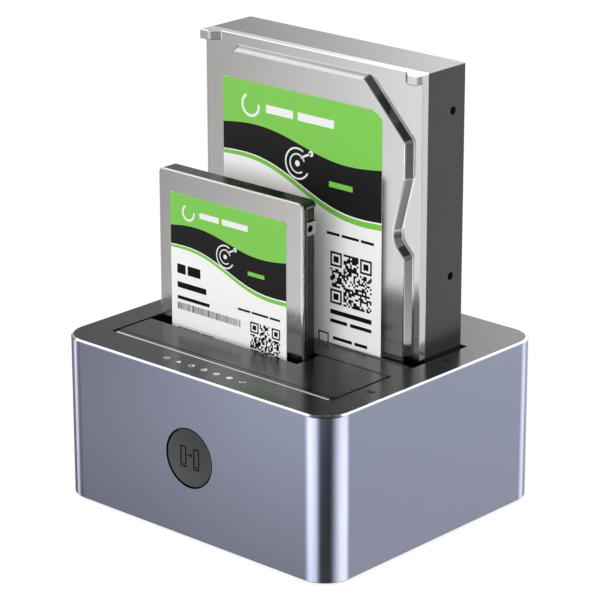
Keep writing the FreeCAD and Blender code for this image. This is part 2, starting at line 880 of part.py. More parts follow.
def large_plateau_points(y, spread):
    """The lid's raised field as seen from the front, spread outwards by an amount."""
    half = large_width / 2 - plateau_side
    top = large_top_z()
    low = large_seat + plateau_bottom
    waist = half - waist_depth
    z_waist = top - waist_drop - waist_upper_slope
    corners = [
        (-half, low), (half, low),
        (half, z_waist - waist_flat - waist_lower_slope), (waist, z_waist - waist_flat),
        (waist, z_waist), (half, top - waist_drop),
        (half, top - plateau_top - plateau_right_cut_z),
        (half - plateau_right_cut_x, top - plateau_top),
        (-half + plateau_left_cut_x, top - plateau_top),
        (-half, top - plateau_top - plateau_left_cut_z),
    ]
    return [V(large_x + x, y, z) for x, z in spread_outline(corners, spread)]


def spread_outline(corners, distance):
    """Move each side of an anticlockwise outline outwards by the distance."""
    moved = []
    count = len(corners)
    for i in range(count):
        before, here, after = corners[i - 1], corners[i], corners[(i + 1) % count]
        n1 = outward(before, here)
        n2 = outward(here, after)
        scale = distance / (1 + n1[0] * n2[0] + n1[1] * n2[1])
        moved.append((here[0] + (n1[0] + n2[0]) * scale, here[1] + (n1[1] + n2[1]) * scale))
    return moved


def outward(a, b):
    dx, dz = b[0] - a[0], b[1] - a[1]
    length = math.hypot(dx, dz)
    return dz / length, -dx / length


def large_drive_cover():
    """The pressed lid: a rim, a raised field with sloping walls, and ears at the far corners."""
    x0, x1 = large_x - large_width / 2, large_x + large_width / 2
    z0, z1 = large_seat, large_top_z()
    face = large_face_y()
    rim = face + large_rim_drop
    field = face + plateau_drop + label_thickness
    slab = rounded_slab(x0, x1, z0, z1, rim, rim + large_skirt, [large_edge_round] * 4)
    foot = rounded_wire(large_plateau_points(rim, plateau_slope), plateau_radii(waist_round - plateau_slope))
    crown = rounded_wire(large_plateau_points(field, 0), plateau_radii(waist_round))
    plateau = Part.makeLoft([foot, crown], True, True)
    plateau = plateau.makeFillet(plateau_edge, flat_edges(plateau, "Y", field))
    lid = slab.fuse(plateau)
    for side in (-1, 1):
        lid = lid.fuse(large_drive_ear(side, face, rim))
    return lid.removeSplitter()


def plateau_radii(waist):
    """Corner radii of the raised field's outline, in the order of its corners."""
    return [plateau_corner] * 3 + [waist] * 2 + [plateau_corner] * 5


def large_drive_ear(side, face, rim):
    """An ear at one far corner of the lid, which slopes back to the rim on its inner side."""
    z1 = large_top_z()
    outer = large_x + side * large_width / 2
    inner = outer - side * large_ear_width
    foot = inner - side * large_ear_ramp
    soft = large_edge_round / 2
    radii = [soft, soft, large_edge_round, soft] if side > 0 else [soft, soft, soft, large_edge_round]
    ear = rounded_slab(min(outer, foot), max(outer, foot), z1 - large_ear_height, z1, face, rim + 1, radii)
    beyond = foot - side
    low = z1 - large_ear_height - 1
    corners = [V(inner, face, low), V(foot, rim, low), V(beyond, rim, low), V(beyond, face - 1, low)]
    corners.append(V(inner, face - 1, low))
    return ear.cut(Part.Face(Part.makePolygon(corners + corners[:1])).extrude(V(0, 0, large_ear_height + 2)))


def large_drive_base():
    """The cast body, with side screw holes, a board bay, a hub ring and a connector bay."""
    x0, x1 = large_x - large_width / 2, large_x + large_width / 2
    z0, z1 = large_seat, large_top_z()
    y0 = large_face_y() + large_rim_drop + large_skirt
    y1 = large_back_y()
    body = rounded_slab(x0, x1, z0, z1, y0, y1, [large_edge_round] * 4)
    body = body.cut(connector_bay(rear_bay_y, large_seat, y1))
    body = body.cut(large_board_block(drive_board_gap, y1 - drive_board_sink - drive_board, y1 + 1))
    y = y1 - large_side_hole_inset
    for z in [z0 + height for height in large_side_holes] + [z1 - large_far_hole]:
        body = body.cut(rod_x(y, z, side_hole_radius, x0 - 1, x0 + side_hole_depth))
        body = body.cut(rod_x(y, z, side_hole_radius, x1 - side_hole_depth, x1 + 1))
    for side in (-1, 1):
        x = large_x + side * (large_width / 2 - large_back_hole_inset)
        for height in large_back_holes:
            body = body.cut(rod_y(x, z0 + height, large_back_hole_radius, y1 - side_hole_depth, y1 + 1))
    body = body.cut(casting_fields(y1))
    z = z0 + large_hub_z
    ring = large_hub_radius + drive_hub_ring
    return body.cut(rod_y(large_x, z, ring, y1 - drive_board_sink - drive_board, y1 + 1))


def casting_fields(back):
    """The shallow fields of the casting's back, between webs that run out from the hub."""
    half = large_width / 2 - large_web_margin
    z0 = large_seat + large_board_rise + large_board_length + large_web
    z1 = large_top_z() - large_web_margin
    y0 = back - large_web_recess
    fields = rounded_slab(large_x - half, large_x + half, z0, z1, y0, back + 1, [large_web] * 4)
    z = large_seat + large_hub_z
    ring = large_hub_radius + drive_hub_ring
    fields = fields.cut(rod_y(large_x, z, ring + large_web, y0 - 1, back + 2))
    reach = large_width
    for angle in (30, 90, 150):
        web = box(large_x, large_x + reach, y0 - 1, back + 2, z - large_web / 2, z + large_web / 2)
        web.rotate(V(large_x, 0, z), V(0, -1, 0), angle)
        fields = fields.cut(web)
    return fields


def connector_bay(bay_y, seat, back):
    """The space for a drive's connector, open at the drive's end and back."""
    y = connector_y(bay_y)
    dx = plug_length / 2 + fit_gap
    y0 = y - plug_width / 2 - fit_gap
    return box(socket_x - dx, socket_x + dx, y0, back + 1, seat - 1, seat + plug_height + fit_gap)


def large_board_block(gap, y0, y1):
    """The board's outline: a wide foot and a narrower head with slanted shoulders."""
    half = large_board_width / 2 + gap
    z0 = large_seat + large_board_rise - gap
    z1 = large_seat + large_board_rise + large_board_length + gap
    shoulder = z1 - large_board_length / 4
    head = half * 0.55
    points = [V(large_x - half, y0, z0), V(large_x + half, y0, z0), V(large_x + half, y0, shoulder),
              V(large_x + head, y0, z1), V(large_x - half, y0, z1)]
    return Part.Face(rounded_wire(points, [2.0] * 5)).extrude(V(0, y1 - y0, 0))


def large_drive_board():
    back = large_back_y() - drive_board_sink
    return large_board_block(0, back - drive_board, back)


def large_drive_hub():
    return drive_hub(large_x, large_seat + large_hub_z, large_hub_radius, large_back_y())


def drive_hub(x, z, radius, back):
    """The motor's round end plate, with a stepped rim and a dimple in its middle."""
    y0 = back - drive_board_sink - drive_board
    y1 = back - drive_hub_sink
    hub = rod_y(x, z, radius, y0, y1)
    hub = hub.makeFillet(drive_board / 2, flat_edges(hub, "Y", y1))
    hub = hub.cut(rod_y(x, z, radius * 0.62, y1 - drive_board / 3, y1 + 1))
    step = rod_y(x, z, radius * 0.4, y1 - drive_board / 3, y1)
    dimple = rod_y(x, z, radius * 0.12, y1 - drive_board / 2, y1 + 1)
    return hub.fuse(step).cut(dimple).removeSplitter()


def large_drive_label():
    x0 = large_x - large_width / 2 + large_label_left
    x1 = large_x + large_width / 2 - large_label_right
    z0 = large_seat + large_label_rise
    z1 = large_top_z() - large_label_drop
    y1 = large_face_y() + plateau_drop + label_thickness
    y0 = y1 - label_thickness
    cut = large_label_cut
    points = [V(x0, y0, z0), V(x1, y0, z0), V(x1, y0, z1 - cut), V(x1 - cut, y0, z1), V(x0, y0, z1)]
    return Part.Face(rounded_wire(points, [1.0, 1.0, 0.5, 0.5, 1.0])).extrude(V(0, label_thickness, 0))


def board_screws_on(places, back):
    heads = []
    y0 = back - drive_board_sink
    for x, z in places:
        head = rod_y(x, z, board_screw_radius, y0, y0 + board_screw_height)
        heads.append(head.makeFillet(board_screw_height / 2, flat_edges(head, "Y", y0 + board_screw_height)))
    return group(heads)


def large_drive_board_screws():
    half = large_board_width / 2 - board_screw_inset
    z0 = large_seat + large_board_rise + board_screw_inset
    z1 = large_seat + large_board_rise + large_board_length - board_screw_inset
    middle = (z0 + z1) / 2
    places = [(-half, z0), (half, z0), (-half, z1), (half, middle), (0, z1)]
    return board_screws_on([(large_x + x, z) for x, z in places], large_back_y())


# ---- small drive ----
def small_back_y():
    return drive_back(front_bay_y)


def small_face_y():
    return small_back_y() - small_thickness


def small_top_z():
    return small_seat + small_length


def small_slab(inset, y0, y1):
    x0, x1 = small_x - small_width / 2 + inset, small_x + small_width / 2 - inset
    z0, z1 = small_seat + inset, small_top_z() - inset
    return rounded_slab(x0, x1, z0, z1, y0, y1, [max(small_corner - inset, 0.4)] * 4)


def small_drive_cover():
    """The pressed lid with its edge rolled over all round."""
    face = small_face_y() + label_thickness
    lid = small_slab(0, face, small_face_y() + small_cover)
    return lid.makeFillet(small_cover_round, flat_edges(lid, "Y", face))


def small_drive_base():
    """The cast tray: a full rim behind the lid, recessed sides between the screw bosses."""
    y0 = small_face_y() + small_cover
    y1 = small_back_y()
    tray = small_slab(0, y0, y1)
    for side in (-1, 1):
        tray = tray.cut(small_side_pockets(side, y0 + small_side_strip, y1))
    tray = tray.cut(connector_bay(front_bay_y, small_seat, y1))
    tray = tray.cut(small_board_block(drive_board_gap, y1 - drive_board_sink - drive_board, y1 + 1))
    for side in (-1, 1):
        x = small_x + side * (small_width / 2 - small_back_hole_inset)
        for z in small_hole_places():
            tray = tray.cut(rod_y(x, z, small_side_hole_radius, y1 - small_back_hole_depth, y1 + 1))
    ring = small_hub_radius + drive_hub_ring
    z = small_seat + small_hub_z
    tray = tray.cut(rod_y(small_x, z, ring, y1 - drive_board_sink - drive_board, y1 + 1))
    return tray


def small_hole_places():
    return [small_seat + small_side_hole, small_top_z() - small_far_hole]


def small_side_pockets(side, y0, y1):
    """The shallow recesses in one side, parted by the bosses round the screw holes."""
    edge = small_x + side * small_width / 2
    x0, x1 = sorted((edge - side * small_side_recess, edge + side))
    z0, z1 = small_seat + small_corner, small_top_z() - small_corner
    pockets = box(x0, x1, y0, y1 + 1, z0, z1)
    half = small_side_boss / 2
    for z in small_hole_places():
        pockets = pockets.cut(box(x0 - 1, x1 + 1, y0 - 1, y1 + 2, z - half, z + half))
        a, b = sorted((edge - side * small_side_hole_depth, edge + side))
        pockets = pockets.fuse(rod_x(y1 - small_side_hole_inset, z, small_side_hole_radius, a, b))
    return pockets


def small_board_block(gap, y0, y1):
    """The board's outline, with one corner cut away beside the hub."""
    half = small_board_width / 2 + gap
    z0 = small_seat + small_board_rise - gap
    z1 = small_seat + small_board_rise + small_board_length + gap
    cut = small_board_length / 4
    points = [V(small_x - half, y0, z0), V(small_x + half, y0, z0), V(small_x + half, y0, z1 - cut),
              V(small_x + half - cut, y0, z1), V(small_x - half, y0, z1)]
    return Part.Face(rounded_wire(points, [1.5] * 5)).extrude(V(0, y1 - y0, 0))


def small_drive_board():
    back = small_back_y() - drive_board_sink
    return small_board_block(0, back - drive_board, back)


def small_drive_hub():
    return drive_hub(small_x, small_seat + small_hub_z, small_hub_radius, small_back_y())


def small_drive_label():
    x0 = small_x - small_width / 2 + small_label_left
    x1 = small_x + small_width / 2 - small_label_right
    z0 = small_seat + small_label_rise
    z1 = small_top_z() - small_label_drop
    y1 = small_face_y() + label_thickness
    radii = [1.0, 1.0, small_label_corner, 0.4]
    return rounded_slab(x0, x1, z0, z1, y1 - label_thickness, y1, radii)


def small_drive_board_screws():
    half = small_board_width / 2 - board_screw_inset
    z0 = small_seat + small_board_rise + board_screw_inset
    z1 = small_seat + small_board_rise + small_board_length - board_screw_inset
    middle = (z0 + z1) / 2
    places = [(-half, z0), (half, z0), (-half, z1), (half, middle)]
    return board_screws_on([(small_x + x, z) for x, z in places], small_back_y())


NODES = {
    "shell": shell,
    "top_plate": top_plate,
    "front_bay_well": lambda: bay_well(front_bay_y, small_seat),
    "rear_bay_well": lambda: bay_well(rear_bay_y, large_seat),
    "base_plate": base_plate,
    "rubber_feet": rubber_feet,
    "tie_posts": tie_posts,
    "base_screws": base_screws,
    "main_board": main_board,
    "board_standoffs": board_standoffs,
    "board_screws": board_screws,
    "front_sata_socket": lambda: sata_socket(front_bay_y, small_seat),
    "rear_sata_socket": lambda: sata_socket(rear_bay_y, large_seat),
    "front_flap": front_flap,
    "rear_flap": rear_flap,
    "front_flap_pin": lambda: flap_pin(front_bay_y),
    "rear_flap_pin": lambda: flap_pin(rear_bay_y),
    "front_flap_spring": lambda: flap_spring(front_bay_y),
    "rear_flap_spring": lambda: flap_spring(rear_bay_y),
    "clone_button": clone_button,
    "button_guide": button_guide,
    "clone_switch": clone_switch,
    "clone_switch_board": clone_switch_board,
    "indicator_light_guides": indicator_light_guides,
    "indicator_lights": indicator_lights,
    "indicator_board": indicator_board,
    "indicator_posts": indicator_posts,
    "dc_power_socket": dc_power_socket,
    "usb_socket": usb_socket,
    "power_switch_body": power_switch_body,
    "power_rocker": power_rocker,
    "large_drive_base": large_drive_base,
    "large_drive_cover": large_drive_cover,
    "large_drive_label": large_drive_label,
    "large_drive_board": large_drive_board,
    "large_drive_board_screws": large_drive_board_screws,
    "large_drive_hub": large_drive_hub,
    "large_drive_plug": lambda: sata_plug(rear_bay_y, large_seat),
    "small_drive_base": small_drive_base,
    "small_drive_cover": small_drive_cover,
    "small_drive_label": small_drive_label,
    "small_drive_board": small_drive_board,
    "small_drive_board_screws": small_drive_board_screws,
    "small_drive_hub": small_drive_hub,
    "small_drive_plug": lambda: sata_plug(front_bay_y, small_seat),
}

os.makedirs("parts", exist_ok=True)
for name, make in NODES.items():
    make().exportStep("parts/" + name + ".step")
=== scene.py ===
import bmesh
import bpy
import json
import math
import random
from mathutils import Matrix, Vector

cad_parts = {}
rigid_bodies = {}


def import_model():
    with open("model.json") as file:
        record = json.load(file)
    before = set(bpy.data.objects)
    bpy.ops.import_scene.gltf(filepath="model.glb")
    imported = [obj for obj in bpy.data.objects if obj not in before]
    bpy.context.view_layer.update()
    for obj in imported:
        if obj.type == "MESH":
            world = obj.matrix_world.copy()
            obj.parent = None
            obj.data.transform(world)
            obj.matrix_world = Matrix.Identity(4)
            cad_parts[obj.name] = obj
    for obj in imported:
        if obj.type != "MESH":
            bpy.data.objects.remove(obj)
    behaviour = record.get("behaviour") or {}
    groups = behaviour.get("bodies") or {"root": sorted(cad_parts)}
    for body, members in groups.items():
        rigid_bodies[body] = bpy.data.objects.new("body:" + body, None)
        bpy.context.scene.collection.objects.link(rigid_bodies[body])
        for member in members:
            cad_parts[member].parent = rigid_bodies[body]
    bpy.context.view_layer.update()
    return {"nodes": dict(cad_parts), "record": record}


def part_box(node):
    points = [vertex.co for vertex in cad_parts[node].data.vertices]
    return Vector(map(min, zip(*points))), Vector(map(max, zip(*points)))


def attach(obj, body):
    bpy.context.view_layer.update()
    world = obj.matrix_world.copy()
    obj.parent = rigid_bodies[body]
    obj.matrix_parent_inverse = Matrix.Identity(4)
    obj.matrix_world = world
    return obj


# Looks of the drive duplicator. Metres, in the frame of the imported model.

# Blender's own start-up objects go first.
for leftover in list(bpy.data.objects):
    bpy.data.objects.remove(leftover)

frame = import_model()
nodes = frame["nodes"]

MM = 0.001

# ---- linear colours ----
ANODISED = (0.266, 0.284, 0.376)
ANODISED_LIGHT = (0.276, 0.294, 0.388)
# bare cut metal on the sleeve's chamfer, and a painted highlight on the large drive cover's top end
CUT_METAL_AND_HIGHLIGHT = (0.93, 0.93, 0.96)
LID_GREY = (0.0045, 0.005, 0.0055)
LID_GREY_LIGHT = (0.007, 0.0075, 0.008)
# painted highlight: the pale metal line along a flap's hinged edge
FLAP_HIGHLIGHT = (0.33, 0.335, 0.34)
BLACK = (0.008, 0.008, 0.009)
BLACK_LIGHT = (0.016, 0.016, 0.017)
RUBBER_LIGHT = (0.03, 0.03, 0.03)
BUTTON_GREY = (0.075, 0.080, 0.081)
BUTTON_GREY_LIGHT = (0.088, 0.093, 0.094)
GUIDE = (0.82, 0.85, 0.86)
GUIDE_LIGHT = (0.9, 0.92, 0.93)
STEEL = (0.50, 0.495, 0.48)
STEEL_LIGHT = (0.56, 0.555, 0.545)
# painted shade: the darker colour given to the walls beside the drive cover's raised part
PAINTED_WALL_SHADE = (0.25, 0.25, 0.25)
BRIGHT_STEEL = (0.60, 0.60, 0.61)
BLACKENED_STEEL = (0.03, 0.03, 0.032)
WIRE = (0.05, 0.05, 0.052)
WIRE_LIGHT = (0.09, 0.09, 0.09)
COATING = (0.010, 0.011, 0.012)
COATING_LIGHT = (0.014, 0.015, 0.016)
MACHINED = (0.30, 0.303, 0.315)
TRAY_BOSS = (0.42, 0.418, 0.41)
TRAY_SIDE = (0.085, 0.085, 0.086)
# painted shade in the small tray's recesses
TRAY_PAINTED_SHADE = (0.05, 0.05, 0.051)
BRASS = (0.62, 0.45, 0.18)
GOLD = (0.83, 0.62, 0.24)
ZINC = (0.45, 0.45, 0.46)
BOARD_GREEN = (0.010, 0.055, 0.030)
BOARD_TRACE = (0.022, 0.115, 0.060)
BOARD_VIA = (0.30, 0.25, 0.12)
PAPER = (0.88, 0.88, 0.87)
PAPER_LIGHT = (0.94, 0.94, 0.93)
GREEN = (0.180, 0.530, 0.068)
GREEN_LIGHT = (0.188, 0.555, 0.072)
CHARCOAL = (0.011, 0.011, 0.011)
CHARCOAL_LIGHT = (0.013, 0.013, 0.013)
INK = (0.006, 0.006, 0.006)
INK_LIGHT = (0.010, 0.010, 0.010)
MARK_WHITE = (0.80, 0.82, 0.80)
MARK_WHITE_LIGHT = (0.84, 0.86, 0.84)
FLOOR = (0.26, 0.26, 0.26)
FLOOR_LIGHT = (0.28, 0.28, 0.28)


# ---- node trees ----
MIX_FIRST, MIX_SECOND, MIX_RESULT = 6, 7, 2     # the colour sockets of a Mix node
NOISE_LOW, NOISE_HIGH = 0.3, 0.7                # most of a noise lies between these
SOFT = 0.05 * MM                                # over this length a painted border goes from 0 to 1


def opaque(colour):
    """A socket as it is, or a plain red, green and blue with full alpha."""
    return colour if isinstance(colour, bpy.types.NodeSocket) else (*colour, 1.0)


class Nodes:
    """Adds nodes to one tree. Every input is another node's output or a plain value."""

    def __init__(self, tree):
        self.tree = tree

    def node(self, kind, inputs=None, **attributes):
        made = self.tree.nodes.new("ShaderNode" + kind)
        for name, value in attributes.items():
            setattr(made, name, value)
        for socket, value in (inputs or {}).items():
            if isinstance(value, bpy.types.NodeSocket):
                self.tree.links.new(value, made.inputs[socket])
            else:
                made.inputs[socket].default_value = value
        return made

    def maths(self, operation, first, second=0.0):
        return self.node("Math", {0: first, 1: second}, operation=operation).outputs["Value"]

    def both(self, first, second):
        """1 where two masks are both 1."""
        return self.maths("MULTIPLY", first, second)

    def span(self, value, low, high, to_low=0.0, to_high=1.0):
        """A value between two limits, carried over to two others."""
        inputs = {"Value": value, "From Min": low, "From Max": high, "To Min": to_low, "To Max": to_high}
        return self.node("MapRange", inputs).outputs["Result"]

    def blend(self, factor, first, second):
        """A blend of two colours, each a socket or a plain red, green and blue."""
        inputs = {0: factor, MIX_FIRST: opaque(first), MIX_SECOND: opaque(second)}
        return self.node("Mix", inputs, data_type="RGBA").outputs[MIX_RESULT]


class Paint(Nodes):
    """A node material round one Principled shader, with its plain values on the shader's own sockets."""

    def __init__(self, name, **values):
        self.material = bpy.data.materials.new(name)
        self.material.use_nodes = True
        super().__init__(self.material.node_tree)
        self.shader = self.tree.nodes["Principled BSDF"]
        for socket, value in values.items():
            self.shader.inputs[socket.replace("_", " ")].default_value = value
        self.place = self.node("TexCoord").outputs["Object"]

    def moved(self, **values):
        """The place after a mapping: its Scale, Location or Rotation is given."""
        return self.node("Mapping", {"Vector": self.place, **values}).outputs["Vector"]

    def noise(self, scale, detail=2.0, vector=None):
        inputs = {"Vector": vector or self.place, "Scale": scale, "Detail": detail}
        return self.node("TexNoise", inputs).outputs["Fac"]

    def axis(self, name):
        return self.node("SeparateXYZ", {"Vector": self.place}).outputs[name]

    def distance(self, axis, middle=0.0):
        """How far a point lies, either way, from a plane across an axis."""
        return self.maths("ABSOLUTE", self.maths("SUBTRACT", self.axis(axis), middle))

    def past(self, value, limit, soft=SOFT):
        """A mask that is 1 where a value is past a limit."""
        return self.span(value, limit, limit + soft)

    def short_of(self, value, limit, soft=SOFT):
        """A mask that is 1 where a value is short of a limit."""
        return self.span(value, limit, limit + soft, 1.0, 0.0)

    def feed(self, socket, value):
        self.tree.links.new(value, self.shader.inputs[socket])

    def fed(self, socket):
        """What feeds one of the shader's sockets so far."""
        return self.shader.inputs[socket].links[0].from_socket

    def repaint(self, mask, colour):
        """Another colour where a mask is 1."""
        self.feed("Base Color", self.blend(mask, self.fed("Base Color"), colour))

    def roughen(self, mask, amount):
        """More roughness, or less, where a mask is 1."""
        change = self.span(mask, 0, 1, 0, amount)
        self.feed("Roughness", self.maths("ADD", self.fed("Roughness"), change))

    def bump(self, height, distance, strength=1.0, edge=0.0):
        """Fine relief, over edges that are softened by a radius."""
        inputs = {"Height": height, "Distance": distance, "Strength": strength}
        if edge:
            inputs["Normal"] = self.node("Bevel", {"Radius": edge}, samples=6).outputs["Normal"]
        self.feed("Normal", self.node("Bump", inputs).outputs["Normal"])


# ---- finishes ----
# Where the paint changes on a form.
SLEEVE_CUT = 0.53 * MM          # height of the bare chamfer round the sleeve's rim
FLAP_HIGHLIGHT_WIDTH = 0.7 * MM             # width of the painted highlight line along a flap's hinged edge
FLAP_END = 0.4 * MM             # width of the dull border at the front flap's ends
COVER_HIGHLIGHT_HEIGHT = 0.35 * MM           # height of the painted highlight along the top end of the large drive's cover
# the next three bound the painted shade on the cover's walls
COVER_WALL = 0.6 * MM           # from the cover's front to where its raised part's walls start
COVER_FLANGE = 3.45 * MM        # from its back to its flange's face, where they end
COVER_SIDE = 33.0 * MM          # from its middle to the walls at its sides
CASTING_CUT = 0.33 * MM         # height of the machined end of the large drive's casting
TRAY_SKIN = 0.2 * MM            # depth of the small tray's outer faces
TRAY_FRONT = 1.2 * MM           # from its front to where its bosses start


def mottled(name, dark, light, cloud, rough, grain, depth, edge=0.0, **values):
    """A slow drift between two colours, a drift of roughness, and a fine grain of some depth.

    cloud and grain are scales of noise, and rough is the lowest and highest roughness.
    """
    paint = Paint(name, **values)
    paint.feed("Base Color", paint.blend(paint.noise(cloud, 3.0), dark, light))
    paint.feed("Roughness", paint.span(paint.noise(cloud * 2.7), NOISE_LOW, NOISE_HIGH, *rough))
    paint.bump(paint.noise(grain, 3.0), depth, edge=edge)
    return paint


def metal_finish(name, colour, rough):
    light = tuple(min(1.0, channel * 1.12) for channel in colour)
    return mottled(name, colour, light, cloud=250, rough=(rough, rough + 0.08), grain=1500,
                   depth=0.004 * MM, Metallic=1.0)


def moulding_finish(name):
    """Plain black plastic with a spark-eroded grain."""
    return mottled(name, BLACK, BLACK_LIGHT, cloud=90, rough=(0.45, 0.6), grain=1800,
                   depth=0.03 * MM, IOR=1.46)


def coated_finish(name, dark, light):
    """A glossy black coating over the fine orange peel of a casting."""
    return mottled(name, dark, light, cloud=70, rough=(0.22, 0.26), grain=900,
                   depth=0.002 * MM, edge=0.3 * MM, IOR=1.5)


def ink_finish(name, dark, light, shine=0.5):
    return mottled(name, dark, light, cloud=700, rough=(0.34, 0.42), grain=6000,
                   depth=0.002 * MM, Specular_IOR_Level=shine)


def anodised_finish():
    """Blasted and anodised, with a bare diamond-cut chamfer round the rim."""
    paint = mottled("anodised_sleeve", ANODISED, ANODISED_LIGHT, cloud=12, rough=(0.125, 0.145), grain=5000,
                    depth=0.0006 * MM, Metallic=1.0)
    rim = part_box("shell")[1].z
    cut_and_highlight = paint.past(paint.axis("Z"), rim - SLEEVE_CUT, 0.03 * MM)
    paint.repaint(cut_and_highlight, CUT_METAL_AND_HIGHLIGHT)
    paint.roughen(cut_and_highlight, -0.1)
    return paint


def lid_finish(name, edge=0.0):
    """Fine satin plastic."""
    return mottled(name, LID_GREY, LID_GREY_LIGHT, cloud=60, rough=(0.2, 0.24), grain=3500,
                   depth=0.002 * MM, edge=edge, IOR=1.6)


def flap_finish():
    """The lid's finish, with a painted highlight along the hinged edge, a pale metallic line, and dull ends
    on the front flap.
    """
    paint = lid_finish("flap_plastic")
    low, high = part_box("front_flap")
    # painted highlight: a pale metallic line along the hinged edge
    cut_and_highlight = paint.short_of(paint.axis("Y"), low.y + FLAP_HIGHLIGHT_WIDTH)
    paint.repaint(cut_and_highlight, FLAP_HIGHLIGHT)
    paint.feed("Metallic", cut_and_highlight)
    at_end = paint.past(paint.distance("X"), high.x - FLAP_END)
    on_front_flap = paint.short_of(paint.axis("Y"), high.y, 0.1 * MM)
    paint.roughen(paint.both(at_end, on_front_flap), 0.7)
    return paint


def rubber_finish():
    return mottled("foot_rubber", BLACK_LIGHT, RUBBER_LIGHT, cloud=150, rough=(0.75, 0.9), grain=2500,
                   depth=0.02 * MM)


def button_finish():
    """Turned metal: faint rings round the button's middle."""
    paint = Paint("button_cap", Metallic=1.0, Anisotropic=0.35)
    low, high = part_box("clone_button")
    middle = (low + high) / 2
    centred = paint.moved(Location=(-middle.x, 0, -middle.z))
    turning = {"Vector": centred, "Scale": 900.0, "Distortion": 0.4, "Detail": 1.0}
    rings = paint.node("TexWave", turning, wave_type="RINGS", rings_direction="Y").outputs["Fac"]
    paint.feed("Base Color", paint.blend(paint.noise(120, 3.0), BUTTON_GREY, BUTTON_GREY_LIGHT))
    paint.feed("Roughness", paint.span(rings, 0, 1, 0.32, 0.38))
    paint.bump(rings, 0.002 * MM, strength=0.6)
    return paint


def pressed_steel_finish():
    """A drive's satin lid: upright brushing, a painted highlight along its top end, and painted shade on
    the walls beside the raised part.
    """
    paint = Paint("drive_lid", Metallic=1.0)
    brushing = paint.noise(2200, 2.0, paint.moved(Scale=(1.0, 1.0, 0.02)))
    low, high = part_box("large_drive_cover")
    end = paint.past(paint.axis("Z"), high.z - COVER_HIGHLIGHT_HEIGHT)
    behind_front = paint.past(paint.axis("Y"), low.y + COVER_WALL)
    before_flange = paint.short_of(paint.axis("Y"), high.y - COVER_FLANGE)
    at_side = paint.past(paint.distance("X"), COVER_SIDE, 1.0 * MM)
    shaded_wall = paint.both(paint.both(behind_front, before_flange), at_side)
    paint.feed("Base Color", paint.blend(paint.noise(35, 4.0), STEEL, STEEL_LIGHT))
    # painted shade: the walls beside the raised part are darkened to stand in for the dark reflection they
    # would show
    paint.repaint(shaded_wall, PAINTED_WALL_SHADE)
    # painted highlight: the cover's top end is painted near-white to stand in for an edge highlight
    paint.repaint(end, CUT_METAL_AND_HIGHLIGHT)
    paint.feed("Roughness", paint.span(brushing, NOISE_LOW, NOISE_HIGH, 0.13, 0.17))
    paint.bump(brushing, 0.0004 * MM, strength=0.5, edge=0.45 * MM)
    return paint


def large_casting_finish():
    """The coated casting, with its far end machined bare."""
    paint = coated_finish("drive_casting", COATING, COATING_LIGHT)
    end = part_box("large_drive_base")[1].z
    bare = paint.past(paint.axis("Z"), end - CASTING_CUT, 0.03 * MM)
    paint.repaint(bare, MACHINED)
    paint.feed("Metallic", bare)
    return paint


def small_tray_finish():
    """A tray with dull sides, painted shade in the recesses, and bare bosses between them."""
    paint = mottled("small_casting", TRAY_SIDE, TRAY_SIDE, cloud=60, rough=(0.24, 0.28), grain=1200,
                    depth=0.0002 * MM, Metallic=1.0)
    low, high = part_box("small_drive_base")
    middle, half = (low.x + high.x) / 2, (high.x - low.x) / 2
    outer = paint.past(paint.distance("X", middle), half - TRAY_SKIN, 0.1 * MM)
    behind = paint.past(paint.axis("Y"), low.y + TRAY_FRONT, 0.1 * MM)
    # painted shade: everything but the outer faces, so the recesses, is painted darker
    paint.feed("Base Color", paint.blend(outer, TRAY_PAINTED_SHADE, paint.fed("Base Color")))
    paint.repaint(paint.both(outer, behind), TRAY_BOSS)
    return paint


def paper_finish():
    return mottled("drive_label", PAPER, PAPER_LIGHT, cloud=500, rough=(0.36, 0.44), grain=6000,
                   depth=0.002 * MM, IOR=1.45)


def wire_finish():
    """Blackened drawn wire, with fine lines that run round the pin as its turns do."""
    paint = Paint("spring_steel", Metallic=1.0)
    lines = paint.noise(9000, 1.0, paint.moved(Scale=(1.0, 0.1, 0.1)))
    paint.feed("Base Color", paint.blend(lines, WIRE, WIRE_LIGHT))
    paint.feed("Roughness", paint.span(lines, 0.2, 0.8, 0.25, 0.4))
    paint.bump(lines, 0.002 * MM)
    return paint


def board_finish():
    """Solder mask over runs of parallel traces, upright in some areas and level in others, with vias."""
    paint = Paint("circuit_board", IOR=1.5)
    flat = paint.moved(Rotation=(math.pi / 2, 0, 0))
    tiles = {"Vector": flat, "Scale": 120.0, "Randomness": 0.7}
    area = paint.node("TexVoronoi", tiles, voronoi_dimensions="2D", distance="CHEBYCHEV")
    pick = paint.node("SeparateColor", {"Color": area.outputs["Color"]}).outputs["Red"]
    upright = paint.both(trace_lines(paint, "X"), paint.span(pick, 0.58, 0.6))
    level = paint.both(trace_lines(paint, "Z"), paint.span(pick, 0.36, 0.38, 1.0, 0.0))
    line = paint.maths("MAXIMUM", upright, level)
    holes = {"Vector": flat, "Scale": 240.0, "Randomness": 0.8}
    hole = paint.node("TexVoronoi", holes, voronoi_dimensions="2D").outputs["Distance"]
    via = paint.span(hole, 0.09, 0.12, 1.0, 0.0)
    paint.feed("Base Color", paint.blend(line, BOARD_GREEN, BOARD_TRACE))
    paint.repaint(via, BOARD_VIA)
    paint.feed("Roughness", paint.span(paint.noise(400), NOISE_LOW, NOISE_HIGH, 0.25, 0.4))
    paint.bump(paint.maths("MAXIMUM", line, via), 0.02 * MM, strength=0.7)
    return paint


def trace_lines(paint, axis):
    """A mask of traces across an axis, one in each millimetre."""
    ridge = paint.maths("PINGPONG", paint.axis(axis), 0.5 * MM)
    return paint.span(ridge, 0.26 * MM, 0.32 * MM)


def frosted_finish():
    return mottled("light_guides", GUIDE, GUIDE_LIGHT, cloud=300, rough=(0.3, 0.45), grain=2500,
                   depth=0.01 * MM, Transmission_Weight=0.6, IOR=1.49)


